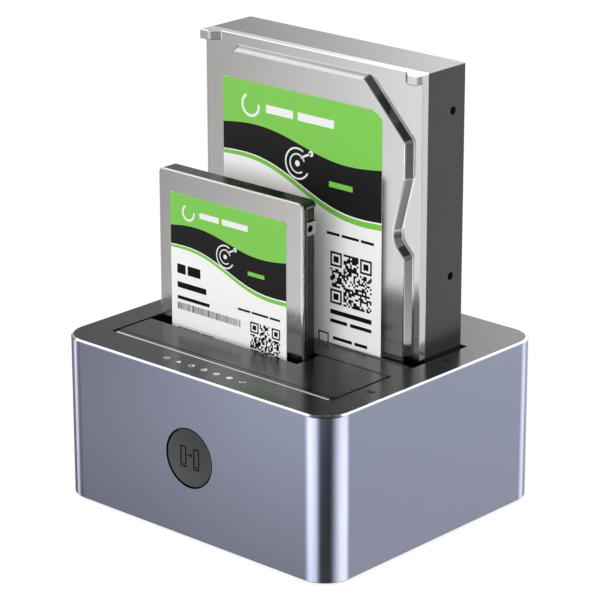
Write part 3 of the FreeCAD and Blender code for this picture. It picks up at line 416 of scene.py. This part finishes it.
SLOT_PAINTS = {
    "anodised_sleeve": anodised_finish(),
    "lid_plastic": lid_finish("lid_plastic", 0.12 * MM),
    "flap_plastic": flap_finish(),
    "bay_plastic": moulding_finish("bay_plastic"),
    "foot_rubber": rubber_finish(),
    "brass_posts": metal_finish("brass_posts", BRASS, 0.25),
    "fixings": metal_finish("fixings", ZINC, 0.3),
    "spring_steel": wire_finish(),
    "bright_steel": metal_finish("bright_steel", BRIGHT_STEEL, 0.2),
    "circuit_board": board_finish(),
    "socket_plastic": moulding_finish("socket_plastic"),
    "button_cap": button_finish(),
    "light_guides": frosted_finish(),
    "switch_plastic": coated_finish("switch_plastic", BLACK, BLACK_LIGHT),
    "drive_lid": pressed_steel_finish(),
    "drive_casting": large_casting_finish(),
    "small_casting": small_tray_finish(),
    "drive_label": paper_finish(),
}
BLACKENED_PAINT = metal_finish("blackened_steel", BLACKENED_STEEL, 0.35)
NODE_PAINTS = {     # these go before their slot's paint
    "front_flap_pin": BLACKENED_PAINT,
    "rear_flap_pin": BLACKENED_PAINT,
}
GREEN_INK = ink_finish("green_ink", GREEN, GREEN_LIGHT)
CHARCOAL_INK = ink_finish("charcoal_ink", CHARCOAL, CHARCOAL_LIGHT, 0.08)
BLACK_INK = ink_finish("black_ink", INK, INK_LIGHT, 0.03)
WHITE_INK = ink_finish("white_ink", MARK_WHITE, MARK_WHITE_LIGHT)
GOLD_PLATE = metal_finish("gold_plate", GOLD, 0.18)
CHIP_PLASTIC = moulding_finish("chip_plastic")


def dress_nodes():
    for part in frame["record"]["subparts"]:
        name = part["node"]
        paint = NODE_PAINTS.get(name, SLOT_PAINTS[part["material_slot"]])
        nodes[name].data.materials.clear()
        nodes[name].data.materials.append(paint.material)


# ---- thin plates on a surface ----
INK_LAYER = 0.02 * MM                       # thickness of one layer of print
LIFTED_LAYER = (0.005 * MM, 0.03 * MM)      # foot and top of the print on the button and the rocker


class Plates:
    """Collects thin closed plates on one surface and makes them one piece. Each place is (u, v)."""

    def __init__(self, place, low=0.0, high=INK_LAYER):
        self.place = place
        self.low = low
        self.high = high
        self.vertices = []
        self.faces = []

    def patch(self, outline):
        count = len(outline)
        start = len(self.vertices)
        self.vertices += [self.place(u, v, self.low) for u, v in outline]
        self.vertices += [self.place(u, v, self.high) for u, v in outline]
        self.faces.append([start + i for i in range(count)])
        self.faces.append([start + count + i for i in reversed(range(count))])
        for i in range(count):
            j = (i + 1) % count
            self.faces.append([start + i, start + count + i, start + count + j, start + j])

    def block(self, u0, v0, u1, v1):
        self.patch([(u0, v0), (u1, v0), (u1, v1), (u0, v1)])

    def band(self, line, width):
        """A ribbon along a line of points."""
        left, right = [], []
        for i, (u, v) in enumerate(line):
            before = line[max(i - 1, 0)]
            after = line[min(i + 1, len(line) - 1)]
            du, dv = after[0] - before[0], after[1] - before[1]
            scale = width / 2 / math.hypot(du, dv)
            left.append((u - dv * scale, v + du * scale))
            right.append((u + dv * scale, v - du * scale))
        self.patch(right + left[::-1])

    def ring(self, u, v, radius, width, start=0, turn=360):
        """An arc or a full ring, as ribbons of half a turn at most."""
        parts = math.ceil(turn / 180)
        for i in range(parts):
            first = start + turn * i / parts
            self.band(arc(u, v, radius, first, first + turn / parts), width)

    def outline(self, u0, v0, u1, v1, width):
        """A rectangle's four sides as ribbons."""
        half = width / 2
        self.block(u0, v0, u1, v0 + width)
        self.block(u0, v1 - width, u1, v1)
        self.band([(u0 + half, v0 + width), (u0 + half, v1 - width)], width)
        self.band([(u1 - half, v0 + width), (u1 - half, v1 - width)], width)

    def make(self, name, paint, body, slot):
        mesh = bpy.data.meshes.new(name)
        mesh.from_pydata(self.vertices, [], self.faces)
        form = bmesh.new()
        form.from_mesh(mesh)
        bmesh.ops.recalc_face_normals(form, faces=form.faces)
        form.to_mesh(mesh)
        form.free()
        mesh.materials.append(paint.material)
        piece = bpy.data.objects.new(name, mesh)
        bpy.context.scene.collection.objects.link(piece)
        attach(piece, body)


def arc(u, v, radius, start, end, steps=16):
    """Points on a circle's arc, between two angles in degrees."""
    points = []
    for i in range(steps + 1):
        angle = math.radians(start + (end - start) * i / steps)
        points.append((u + radius * math.cos(angle), v + radius * math.sin(angle)))
    return points


def disc(u, v, radius):
    return arc(u, v, radius, 0, 360, 24)[:-1]


def facing_front(node):
    """Places on a node's front face: u to the right and v up from its lower left corner, w outwards."""
    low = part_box(node)[0]
    return lambda u, v, w: Vector((low.x + u, low.y - w, low.z + v))


def facing_back(node):
    """Places on a node's back face: u toward +X from its middle, v up from its foot, w outwards."""
    low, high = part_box(node)
    middle = (low.x + high.x) / 2
    return lambda u, v, w: Vector((middle + u, high.y + w, low.z + v))


def on_lid(x, y):
    """Places on the lid's top face, round a point of it."""
    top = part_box("top_plate")[1].z
    return lambda u, v, w: Vector((x + u, y + v, top + w))


# ---- printed labels on the drives ----
# Lengths are in millimetres. A place is (right, up) from the label's lower left corner, and a negative
# height is counted down from its top. A wavy edge is (height at the left, height at the right, swell).
#   corners   what is cut off the left and the right one
#   band, hem   lower edge, upper edge
#   tag   left, foot, right, top
#   platter   place, radius
#   crescent   place, radius, width of line
#   title, lines   place, lengths of the words, height, gap
#   code   place, side, seed
#   bars   place, length, height, seed
#   frames   left, foot, right, top, width of line
LARGE_LABEL = {
    "corners": (0.3, 3.0),
    "band": ((-27, -40, 3.0), (-17, -21, 2.4)),
    "hem": ((-28.8, -42.8, 3.0), (-27.4, -40.6, 3.0)),
    "tag": (51, -31.5, 62, -29.5),
    "platter": (36, -26.0, 5.6),
    "crescent": (13.5, -8.6, 4.0, 1.0),
    "title": (21, -10.2, (13, 17), 3.0, 2.2),
    "code": (51.7, 26.6, 19.4, 7),
    "bars": (7, 22, 34, 5, 11),
    "frames": [(46, 9, 51, 15, 0.6)],
    "lines": [
        (7, 44, (13, 9, 8), 1.5, 1.3),
        (7, 39.8, (9, 14, 5), 1.5, 1.3),
        (7, 35.6, (15, 6, 10), 1.5, 1.3),
        (51.7, 22.6, (19.4,), 1.7, 0),
        (51.7, 19.4, (8, 10), 1.3, 1.4),
        (50, 52, (6, 8, 6), 1.0, 1.0),
        (53, 13, (9, 6), 1.2, 1.2),
        (53, 10, (12,), 1.2, 1.2),
    ],
}
SMALL_LABEL = {
    "corners": (0.2, 1.2),
    "band": ((-19.5, -29.0, 2.0), (-12.5, -15.0, 1.8)),
    "hem": ((-20.8, -31.0, 2.0), (-19.8, -29.5, 2.0)),
    "tag": (38, -23.4, 46, -21.9),
    "platter": (27, -19.0, 4.2),
    "crescent": (9, -6.4, 2.8, 0.8),
    "title": (14.5, -7.4, (9.5, 12.5), 2.2, 1.6),
    "code": (39.0, 27.2, 14.4, 19),
    "bars": (3.0, 38.2, 32.0, 2.6, 5),
    "frames": [],
    "lines": [
        (3, -30.2, (4.2, 6.4), 3.6, 1.0),
        (3, -35.6, (14.5,), 2.2, 1.0),
        (3, -40.0, (16.0,), 1.3, 1.0),
        (33, -37.4, (6, 8, 5), 0.8, 0.7),
        (3, 30, (11, 6), 1.2, 1.1),
        (3, 26.6, (7, 12), 1.2, 1.1),
        (3, 23.2, (14, 3), 1.2, 1.1),
    ],
}
FIELD_STEPS = 40                    # points along a printed field's curved edge
CODE_CELLS = 25                     # cells along a code block's side
CODE_CORNER = 7                     # cells along one of its framed corners
CODE_DARK_SHARE = 0.52
BAR_WIDTHS = (0.22, 0.3, 0.45)      # millimetres
BAR_GAPS = (0.2, 0.3, 0.4)
WIDEST_BAR = 0.8 * MM               # a bar and its gap, which a strip leaves free at its end


def code_block(plates, u, v, size, seed):
    """A square of random cells with three framed corners. It carries no code."""
    cell = size / CODE_CELLS
    far = CODE_CELLS - CODE_CORNER
    draw = random.Random(seed)
    for row in range(CODE_CELLS):
        run = None
        for column in range(CODE_CELLS + 1):
            dark = column < CODE_CELLS and not in_corner(row, column) and draw.random() < CODE_DARK_SHARE
            if dark and run is None:
                run = column
            if not dark and run is not None:
                plates.block(u + run * cell, v + row * cell, u + column * cell, v + (row + 1) * cell)
                run = None
    for left, low in ((0, 0), (0, far), (far, far)):
        corner_frame(plates, u + left * cell, v + low * cell, cell)


def in_corner(row, column):
    """Whether a cell lies in a framed corner of the code block or in the free cells round it."""
    near, far = CODE_CORNER + 1, CODE_CELLS - CODE_CORNER - 1
    low_left = row < near and column < near
    high = row >= far and (column < near or column >= far)
    return low_left or high


def corner_frame(plates, u, v, cell):
    """A framed square with a filled middle."""
    side, start, end = CODE_CORNER * cell, 2 * cell, 5 * cell
    plates.outline(u, v, u + side, v + side, cell)
    plates.block(u + start, v + start, u + end, v + end)


def bar_strip(plates, u, v, length, height, seed):
    """Upright bars of random widths. They carry no code."""
    draw = random.Random(seed)
    end = u + length
    while u < end - WIDEST_BAR:
        bar = draw.choice(BAR_WIDTHS) * MM
        plates.block(u, v, u + bar, v + height)
        u += bar + draw.choice(BAR_GAPS) * MM


def platter_mark(plates, u, v, radius):
    """Rings of a disc and an arm that reaches over them, in shares of the radius."""
    plates.ring(u, v, radius, radius * 0.12, 60, 270)
    plates.ring(u, v, radius * 0.62, radius * 0.10, 20, 290)
    plates.patch(disc(u, v, radius * 0.2))
    tip = (u + radius * 0.28, v + radius * 0.42)
    root = (u + radius * 1.15, v + radius * 0.85)
    plates.band([tip, root], radius * 0.14)
    plates.patch(disc(*root, radius * 0.2))


class Label:
    """The print on one drive's label, in layers that are each a piece."""

    def __init__(self, size, design):
        self.size = size
        self.design = design
        self.node = size + "_drive_label"
        low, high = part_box(self.node)
        self.width = high.x - low.x
        self.height = high.z - low.z

    def up(self, height):
        return height * MM if height >= 0 else self.height + height * MM

    def layer(self, inks_below=0):
        return Plates(facing_front(self.node), inks_below * INK_LAYER, (inks_below + 1) * INK_LAYER)

    def make(self, plates, name, ink):
        plates.make(self.size + "_label_" + name, ink, self.size + "_drive", "drive_label")

    def wave(self, left, right, swell):
        """A printed edge that runs from one height to another with one swell."""
        start, end = self.up(left), self.up(right)

        def edge(u):
            share = u / self.width
            return start + (end - start) * share + swell * MM * math.sin(2 * math.pi * share)
        return edge

    def top(self):
        """The label's top edge with its two corners taken off."""
        left, right = (corner * MM for corner in self.design["corners"])
        return lambda u: self.height - max(0.0, left - u, right - (self.width - u))

    def field(self, plates, lower, upper):
        """The area between two edges."""
        steps = [self.width * i / FIELD_STEPS for i in range(FIELD_STEPS + 1)]
        under = [(u, lower(u)) for u in steps]
        over = [(u, upper(u)) for u in reversed(steps)]
        plates.patch(under + over)

    def line(self, plates, u, v, lengths, height, gap):
        """Word-long bars that stand for a line of print."""
        start = u * MM
        for length in lengths:
            plates.block(start, self.up(v), start + length * MM, self.up(v) + height * MM)
            start += (length + gap) * MM

    def green_fields(self):
        plates = self.layer()
        band_top = self.design["band"][1]
        self.field(plates, self.wave(*band_top), self.top())
        foot, top = self.design["hem"]
        self.field(plates, self.wave(*foot), self.wave(*top))
        self.make(plates, "green", GREEN_INK)

    def green_tag(self):
        plates = self.layer(1)
        left, foot, right, top = self.design["tag"]
        plates.block(left * MM, self.up(foot), right * MM, self.up(top))
        self.make(plates, "tag", GREEN_INK)

    def dark_band(self):
        plates = self.layer()
        foot, top = self.design["band"]
        self.field(plates, self.wave(*foot), self.wave(*top))
        self.make(plates, "band", CHARCOAL_INK)

    def pale_marks(self):
        plates = self.layer(1)
        u, v, radius = self.design["platter"]
        platter_mark(plates, u * MM, self.up(v), radius * MM)
        u, v, radius, width = self.design["crescent"]
        plates.ring(u * MM, self.up(v), radius * MM, width * MM, 120, 250)
        self.line(plates, *self.design["title"])
        self.make(plates, "marks", WHITE_INK)

    def black_print(self):
        plates = self.layer()
        u, v, size, seed = self.design["code"]
        code_block(plates, u * MM, self.up(v), size * MM, seed)
        for line in self.design["lines"]:
            self.line(plates, *line)
        u, v, length, height, seed = self.design["bars"]
        bar_strip(plates, u * MM, self.up(v), length * MM, height * MM, seed)
        for left, foot, right, top, width in self.design["frames"]:
            plates.outline(left * MM, self.up(foot), right * MM, self.up(top), width * MM)
        self.make(plates, "print", BLACK_INK)


def label_art(size, design):
    label = Label(size, design)
    label.green_fields()
    label.green_tag()
    label.dark_band()
    label.pale_marks()
    label.black_print()


# ---- marks on the lid, the button and the rocker ----
SHARES = 4                          # share symbols between the link and the tick
BAY_MARK_X = 57.2 * MM
BAY_MARK_Y = {"front_bay_mark": -27.0 * MM, "rear_bay_mark": 14.1 * MM}
BUTTON_RADIUS = 10.6 * MM           # of its dished cap
BUTTON_SINK = 0.1 * MM              # from the sleeve's front to the cap's edge
BUTTON_DISH = 0.35 * MM             # from the cap's edge to its hollow's bottom
ROCKER_TILT = math.radians(7.0)     # at rest
ROCKER_HALF = 6.5 * MM              # half its length
ROCKER_REACH = 5.2 * MM             # how far its two ends stand out from its axis
ROCKER_WAIST = 4.2 * MM             # how far its middle does
ROCKER_GAP = 0.3 * MM               # from its raised end to the sleeve's back


def power_symbol(plates, u, v):
    line = 0.32 * MM
    plates.ring(u, v, 1.0 * MM, line, 120, 300)
    plates.band([(u, v + 0.1 * MM), (u, v + 1.3 * MM)], line)


def link_symbol(plates, u, v):
    plates.patch([(u - 1.2 * MM, v - 0.9 * MM), (u + 1.2 * MM, v - 0.9 * MM), (u, v + 1.1 * MM)])


def share_symbol(plates, u, v, share):
    """A ring, filled clockwise from its top by a share."""
    plates.ring(u, v, 1.05 * MM, 0.28 * MM)
    wedge = arc(u, v, 0.85 * MM, 90 - 360 * share, 90, 14)
    if share < 1:
        wedge = [(u, v)] + wedge
    else:
        wedge = wedge[:-1]
    plates.patch(wedge)


def tick_symbol(plates, u, v):
    line = 0.42 * MM
    plates.band([(u - 1.1 * MM, v), (u - 0.3 * MM, v - 0.9 * MM)], line)
    plates.band([(u - 0.42 * MM, v - 0.9 * MM), (u + 1.2 * MM, v + 1.0 * MM)], line)


def indicator_marks():
    """White symbols over the light guides: power, link, shares done and a tick."""
    low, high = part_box("indicator_light_guides")
    radius = (high.y - low.y) / 2
    last = SHARES + 2
    pitch = (high.x - low.x - 2 * radius) / last
    marks = Plates(on_lid(low.x + radius, (low.y + high.y) / 2))
    power_symbol(marks, 0, 0)
    link_symbol(marks, pitch, 0)
    for i in range(SHARES):
        share_symbol(marks, (2 + i) * pitch, 0, (i + 1) / SHARES)
    tick_symbol(marks, last * pitch, 0)
    marks.make("indicator_marks", WHITE_INK, "dock", "light_guides")


def bay_marks():
    """A small drive pictogram beside each bay's right-hand end."""
    for name, y in BAY_MARK_Y.items():
        marks = Plates(on_lid(BAY_MARK_X, y))
        marks.outline(-1.5 * MM, -1.1 * MM, 1.5 * MM, 1.1 * MM, 0.4 * MM)
        marks.block(-0.5 * MM, -0.4 * MM, 0.9 * MM, 0.4 * MM)
        marks.make(name, BLACK_INK, "dock", "lid_plastic")


def in_dished_cap():
    """Places on the button's hollow face, round its middle."""
    low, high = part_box("clone_button")
    middle = (low.z + high.z) / 2
    bowl = (BUTTON_RADIUS ** 2 + BUTTON_DISH ** 2) / (2 * BUTTON_DISH)
    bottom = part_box("shell")[0].y + BUTTON_SINK + BUTTON_DISH

    def place(u, v, w):
        rise = bowl - math.sqrt(bowl ** 2 - u ** 2 - v ** 2)
        return Vector((u, bottom - rise - w, middle + v))
    return place


def button_mark():
    """Two upright drives with an arrow from one to the other."""
    marks = Plates(in_dished_cap(), *LIFTED_LAYER)
    line = 0.55 * MM
    for side in (-1, 1):
        left, right = sorted((side * 1.7 * MM, side * 4.6 * MM))
        marks.outline(left, -4.0 * MM, right, 4.0 * MM, line)
        marks.block(left + 0.95 * MM, -3.0 * MM, right - 0.95 * MM, -2.5 * MM)
    marks.band([(-1.2 * MM, 1.0 * MM), (0.5 * MM, 1.0 * MM)], line)
    marks.patch([(0.3 * MM, 0.1 * MM), (1.35 * MM, 1.0 * MM), (0.3 * MM, 1.9 * MM)])
    marks.make("clone_button_mark", BLACK_INK, "clone_button", "button_cap")


def on_rocker(side):
    """Places on the upper (1) or the lower (-1) of the rocker's two slanted faces, round its middle."""
    low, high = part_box("power_rocker")
    pivot_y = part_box("shell")[1].y - ROCKER_GAP - ROCKER_REACH - ROCKER_HALF * math.sin(ROCKER_TILT)
    pivot = Vector(((low.x + high.x) / 2, pivot_y, (low.z + high.z) / 2))
    waist = pivot + ROCKER_WAIST * Vector((0, math.cos(ROCKER_TILT), math.sin(ROCKER_TILT)))
    slope = math.atan2(ROCKER_REACH - ROCKER_WAIST, ROCKER_HALF)
    angle = ROCKER_TILT + side * (math.pi / 2 - slope)
    along = Vector((0, math.cos(angle), math.sin(angle)))
    out = Vector((0, along.z * side, -along.y * side))
    middle = waist + along * 3.6 * MM
    return lambda u, v, w: middle + Vector((u, 0, 0)) + along * v + out * w


def rocker_marks():
    """The line and the ring of an on-off rocker."""
    line = Plates(on_rocker(1), *LIFTED_LAYER)
    line.block(-0.25 * MM, -1.3 * MM, 0.25 * MM, 1.3 * MM)
    line.make("rocker_mark_on", WHITE_INK, "power_rocker", "switch_plastic")
    ring = Plates(on_rocker(-1), *LIFTED_LAYER)
    ring.ring(0, 0, 1.2 * MM, 0.45 * MM)
    ring.make("rocker_mark_off", WHITE_INK, "power_rocker", "switch_plastic")


# ---- parts on the drives' boards, and contacts ----
# Chips in millimetres: toward +X from the board's middle, up from its foot, half width, half height.
LARGE_CHIPS = ((-18, 34, 7, 7), (14, 40, 5, 3.4), (20, 20, 4, 4), (-10, 12, 3.4, 2.4), (-28, 52, 3, 2))
SMALL_CHIPS = ((-8, 24, 5.5, 5.5), (13, 22, 3.6, 2.6), (-18, 11, 2.4, 2))
CHIP_LAYER = (0.12 * MM, 0.85 * MM)
CHIP_BEVEL = 0.3 * MM               # cut off the corner of its first pin
PIN_LAYER = (0.0, 0.14 * MM)
PIN_PITCH = 0.8 * MM
PIN_LENGTH = 0.6 * MM
PIN_HALF = 0.15 * MM
FINGER_PITCH = 1.27 * MM
FINGER_GROUPS = ((15, 5.4 * MM), (7, 29.3 * MM))        # how many, and where the first starts
FINGER_FOOT, FINGER_TOP, FINGER_WIDTH = 0.4 * MM, 3.3 * MM, 0.8 * MM
BLADE_HALF = 0.6 * MM               # half the thickness of a connector's blade


def board_parts(body, chips):
    """Chips with pins on the back of a drive's board."""
    place = facing_back(body + "_board")
    packages = Plates(place, *CHIP_LAYER)
    pins = Plates(place, *PIN_LAYER)
    for chip in chips:
        u, v, du, dv = (length * MM for length in chip)
        packages.patch([(u - du + CHIP_BEVEL, v - dv), (u + du, v - dv), (u + du, v + dv),
                        (u - du, v + dv), (u - du, v - dv + CHIP_BEVEL)])
        for i in range(int(2 * du / PIN_PITCH)):
            left = u - du + PIN_PITCH * (i + 0.5) - PIN_HALF
            right = left + 2 * PIN_HALF
            pins.block(left, v - dv - PIN_LENGTH, right, v - dv)
            pins.block(left, v + dv, right, v + dv + PIN_LENGTH)
    packages.make(body + "_chips", CHIP_PLASTIC, body, "socket_plastic")
    pins.make(body + "_chip_pins", GOLD_PLATE, body, "bright_steel")


def contact_fingers(body):
    """Gold fingers on the front of a drive connector's two blades."""
    low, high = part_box(body + "_plug")
    face = (low.y + high.y) / 2 - BLADE_HALF
    fingers = Plates(lambda u, v, w: Vector((low.x + u, face - w, low.z + v)))
    for count, start in FINGER_GROUPS:
        for i in range(count):
            u = start + FINGER_PITCH * i
            fingers.block(u, FINGER_FOOT, u + FINGER_WIDTH, FINGER_TOP)
    fingers.make(body + "_contacts", GOLD_PLATE, body, "bright_steel")


# ---- stage ----
FLOOR_HALF = 3.0
FLOOR_GLOW = 0.82       # added to the lit floor for the camera, so that it's white but for the shadow

# Lamps: name, place, side length in metres, watts.
LAMPS = (
    ("key", (0.5, -1.25, 0.5), 1.2, 17.0),
    ("fill", (1.2, -0.1, 0.8), 0.9, 4.0),
)
LAMP_TARGET = Vector((0, 0, 0.07))

# The photograph's camera, as it was solved from the object's edges.
LENS = 175.345
SENSOR = 36.0
CAMERA_PLACE = (0.66515, -0.73276, 0.41690)
CAMERA_RIGHT = (0.740893, 0.671622, -0.001259)
CAMERA_UP = (-0.218435, 0.242736, 0.945180)
CAMERA_BACK = (0.635110, -0.700002, 0.326547)

# What the studio shows to shiny surfaces: four tiers of cards, each (degrees round from +X, brightness).
BRIGHTEST = 5.0         # a ramp holds its levels as shares of this
LOW_CARDS = (
    (-180, 0.5), (-174, 1.8), (-168, 2.8), (-160, 2.2), (-154, 0.8), (-146, 0.5), (-137, 0.66),
    (-132, 1.52), (-125, 1.15), (-120, 2.0), (-113, 4.6), (-100, 4.8), (-94, 3.8), (-84, 3.1),
    (-74, 1.1), (-66, 0.12), (-56, 0.04), (-34, 0.04), (-24, 0.3), (-12, 1.4), (-3, 2.4), (4, 2.9),
    (12, 3.6), (33, 3.6), (42, 1.0), (58, 1.02), (66, 2.7), (76, 2.5), (88, 0.9), (130, 0.7),
    (160, 0.3), (180, 0.5),
)
LEVEL_CARDS = (
    (-180, 0.5), (-174, 1.6), (-168, 2.4), (-160, 2.0), (-154, 0.7), (-146, 0.38), (-136, 0.43),
    (-133, 0.68), (-129.5, 1.6), (-118, 1.5), (-100, 1.7), (-70, 1.5), (-48, 1.0), (-36, 0.6),
    (-22, 0.25), (36, 0.2), (42, 1.15), (58, 1.15), (66, 2.0), (76, 1.8), (88, 0.8), (130, 0.7),
    (160, 0.3), (180, 0.5),
)
HIGH_CARDS = (
    (-180, 0.5), (-165, 0.8), (-150, 1.5), (-110, 1.0), (-60, 0.4), (0, 0.6), (40, 1.5), (90, 2.4),
    (118, 3.0), (127, 2.1), (131, 0.92), (134, 0.55), (138, 0.3), (150, 0.35), (180, 0.5),
)
TOP_CARDS = (
    (-180, 3.0), (-168, 3.1), (-161, 1.3), (-146, 1.3), (-139, 2.5), (-110, 1.0), (-60, 0.4), (0, 0.6),
    (40, 2.0), (50, 2.2), (57, 1.25), (74, 1.25), (82, 2.3), (90, 2.4), (120, 1.5), (138, 0.8),
    (148, 1.6), (165, 1.7), (180, 2.6),
)

# Each tier takes over from the one below it between two heights, which are a direction's Z.
TIERS = (
    (-0.50, -0.44, LOW_CARDS),
    (-0.345, -0.325, LEVEL_CARDS),
    (-0.08, 0.08, HIGH_CARDS),
    (0.44, 0.52, TOP_CARDS),
)
PLAIN = (1.0 / BRIGHTEST,) * 3      # below the lowest tier
LEFT_LOSS, RIGHT_LOSS = 0.6, 0.15   # the share that the cards lose near the ground, on either side
OVERHEAD = 0.12                     # the share that is left overhead
AMBIENT = 0.6                       # strength of the even light that dull surfaces get


def studio_floor():
    """A pale floor that the camera sees as white, with the object's shadow on it."""
    size = FLOOR_HALF
    corners = [(-size, -size, 0), (size, -size, 0), (size, size, 0), (-size, size, 0)]
    mesh = bpy.data.meshes.new("floor")
    mesh.from_pydata(corners, [], [(0, 1, 2, 3)])
    paint = Paint("floor", Roughness=0.9, Specular_IOR_Level=0.0)
    paint.feed("Base Color", paint.blend(paint.noise(3.0), FLOOR, FLOOR_LIGHT))
    seen = paint.node("LightPath").outputs["Is Camera Ray"]
    glow = paint.node("Emission", {"Strength": FLOOR_GLOW}).outputs["Emission"]
    dark = paint.node("Emission", {"Strength": 0.0}).outputs["Emission"]
    lift = paint.node("MixShader", {0: seen, 1: dark, 2: glow}).outputs["Shader"]
    both = paint.node("AddShader", {0: paint.shader.outputs["BSDF"], 1: lift}).outputs["Shader"]
    paint.tree.links.new(both, paint.tree.nodes["Material Output"].inputs["Surface"])
    mesh.materials.append(paint.material)
    floor = bpy.data.objects.new("floor", mesh)
    bpy.context.scene.collection.objects.link(floor)
    floor.visible_glossy = False


def card_ring(sky, heading, cards):
    """One tier of cards, as a ramp over the heading."""
    ramp = sky.node("ValToRGB", {"Fac": heading})
    stops = ramp.color_ramp.elements
    stops.remove(stops[1])
    for i, (degrees, level) in enumerate(cards):
        spot = (degrees + 180) / 360
        stop = stops[0] if i == 0 else stops.new(spot)
        stop.position = spot
        stop.color = [level / BRIGHTEST] * 3 + [1.0]
    return ramp.outputs["Color"]


def card_colour(sky, direction):
    """All tiers of cards, from the ground up."""
    turn = sky.maths("ARCTAN2", direction["Y"], direction["X"])
    heading = sky.span(turn, -math.pi, math.pi)
    around = PLAIN
    for start, end, cards in TIERS:
        around = sky.blend(sky.span(direction["Z"], start, end), around, card_ring(sky, heading, cards))
    return around


def card_strength(sky, direction):
    """The cards' strength: less toward the ground, most of all on the left, and little overhead."""
    loss = sky.span(direction["X"], -0.3, 0.3, LEFT_LOSS, RIGHT_LOSS)
    near_ground = sky.span(direction["Z"], -0.42, -0.345, 1.0, 0.0)
    kept = sky.span(sky.both(near_ground, loss), 0.0, 1.0, BRIGHTEST, 0.0)
    overhead = sky.span(direction["Z"], 0.74, 0.82, 1.0, OVERHEAD)
    return sky.maths("MULTIPLY", kept, overhead)


def studio_world():
    """White to the camera, cards all round to shiny surfaces, and an even soft light to the rest."""
    world = bpy.data.worlds.new("studio")
    world.use_nodes = True
    bpy.context.scene.world = world
    world.node_tree.nodes.clear()
    sky = Nodes(world.node_tree)
    direction = sky.node("SeparateXYZ", {"Vector": sky.node("TexCoord").outputs["Generated"]}).outputs
    cards = {"Color": card_colour(sky, direction), "Strength": card_strength(sky, direction)}
    shiny = sky.node("Background", cards).outputs["Background"]
    soft = sky.node("Background", {"Color": (1, 1, 1, 1), "Strength": AMBIENT}).outputs["Background"]
    white = sky.node("Background", {"Color": (1, 1, 1, 1), "Strength": 1.0}).outputs["Background"]
    path = sky.node("LightPath").outputs
    glossy = sky.maths("MAXIMUM", path["Is Glossy Ray"], path["Is Transmission Ray"])
    lit = sky.node("MixShader", {0: glossy, 1: soft, 2: shiny}).outputs["Shader"]
    seen = sky.node("MixShader", {0: path["Is Camera Ray"], 1: lit, 2: white}).outputs["Shader"]
    sky.node("OutputWorld", {"Surface": seen})


def softbox(name, place, size, watts):
    """A soft square lamp that faces the object's middle."""
    lamp = bpy.data.lights.new(name, "AREA")
    lamp.shape = "SQUARE"
    lamp.size = size
    lamp.energy = watts
    holder = bpy.data.objects.new(name, lamp)
    bpy.context.scene.collection.objects.link(holder)
    holder.location = place
    holder.rotation_euler = (LAMP_TARGET - Vector(place)).to_track_quat("-Z", "Y").to_euler()
    holder.visible_glossy = False


def photo_camera():
    camera = bpy.data.cameras.new("camera")
    camera.lens = LENS
    camera.sensor_width = SENSOR
    holder = bpy.data.objects.new("camera", camera)
    bpy.context.scene.collection.objects.link(holder)
    turn = Matrix((CAMERA_RIGHT, CAMERA_UP, CAMERA_BACK)).transposed().to_4x4()
    holder.matrix_world = Matrix.Translation(CAMERA_PLACE) @ turn
    bpy.context.scene.camera = holder


dress_nodes()
label_art("large", LARGE_LABEL)
label_art("small", SMALL_LABEL)
indicator_marks()
bay_marks()
button_mark()
rocker_marks()
board_parts("large_drive", LARGE_CHIPS)
board_parts("small_drive", SMALL_CHIPS)
contact_fingers("large_drive")
contact_fingers("small_drive")
studio_floor()
studio_world()
for lamp_settings in LAMPS:
    softbox(*lamp_settings)
photo_camera()

scene = bpy.context.scene
scene.view_settings.view_transform = "Standard"
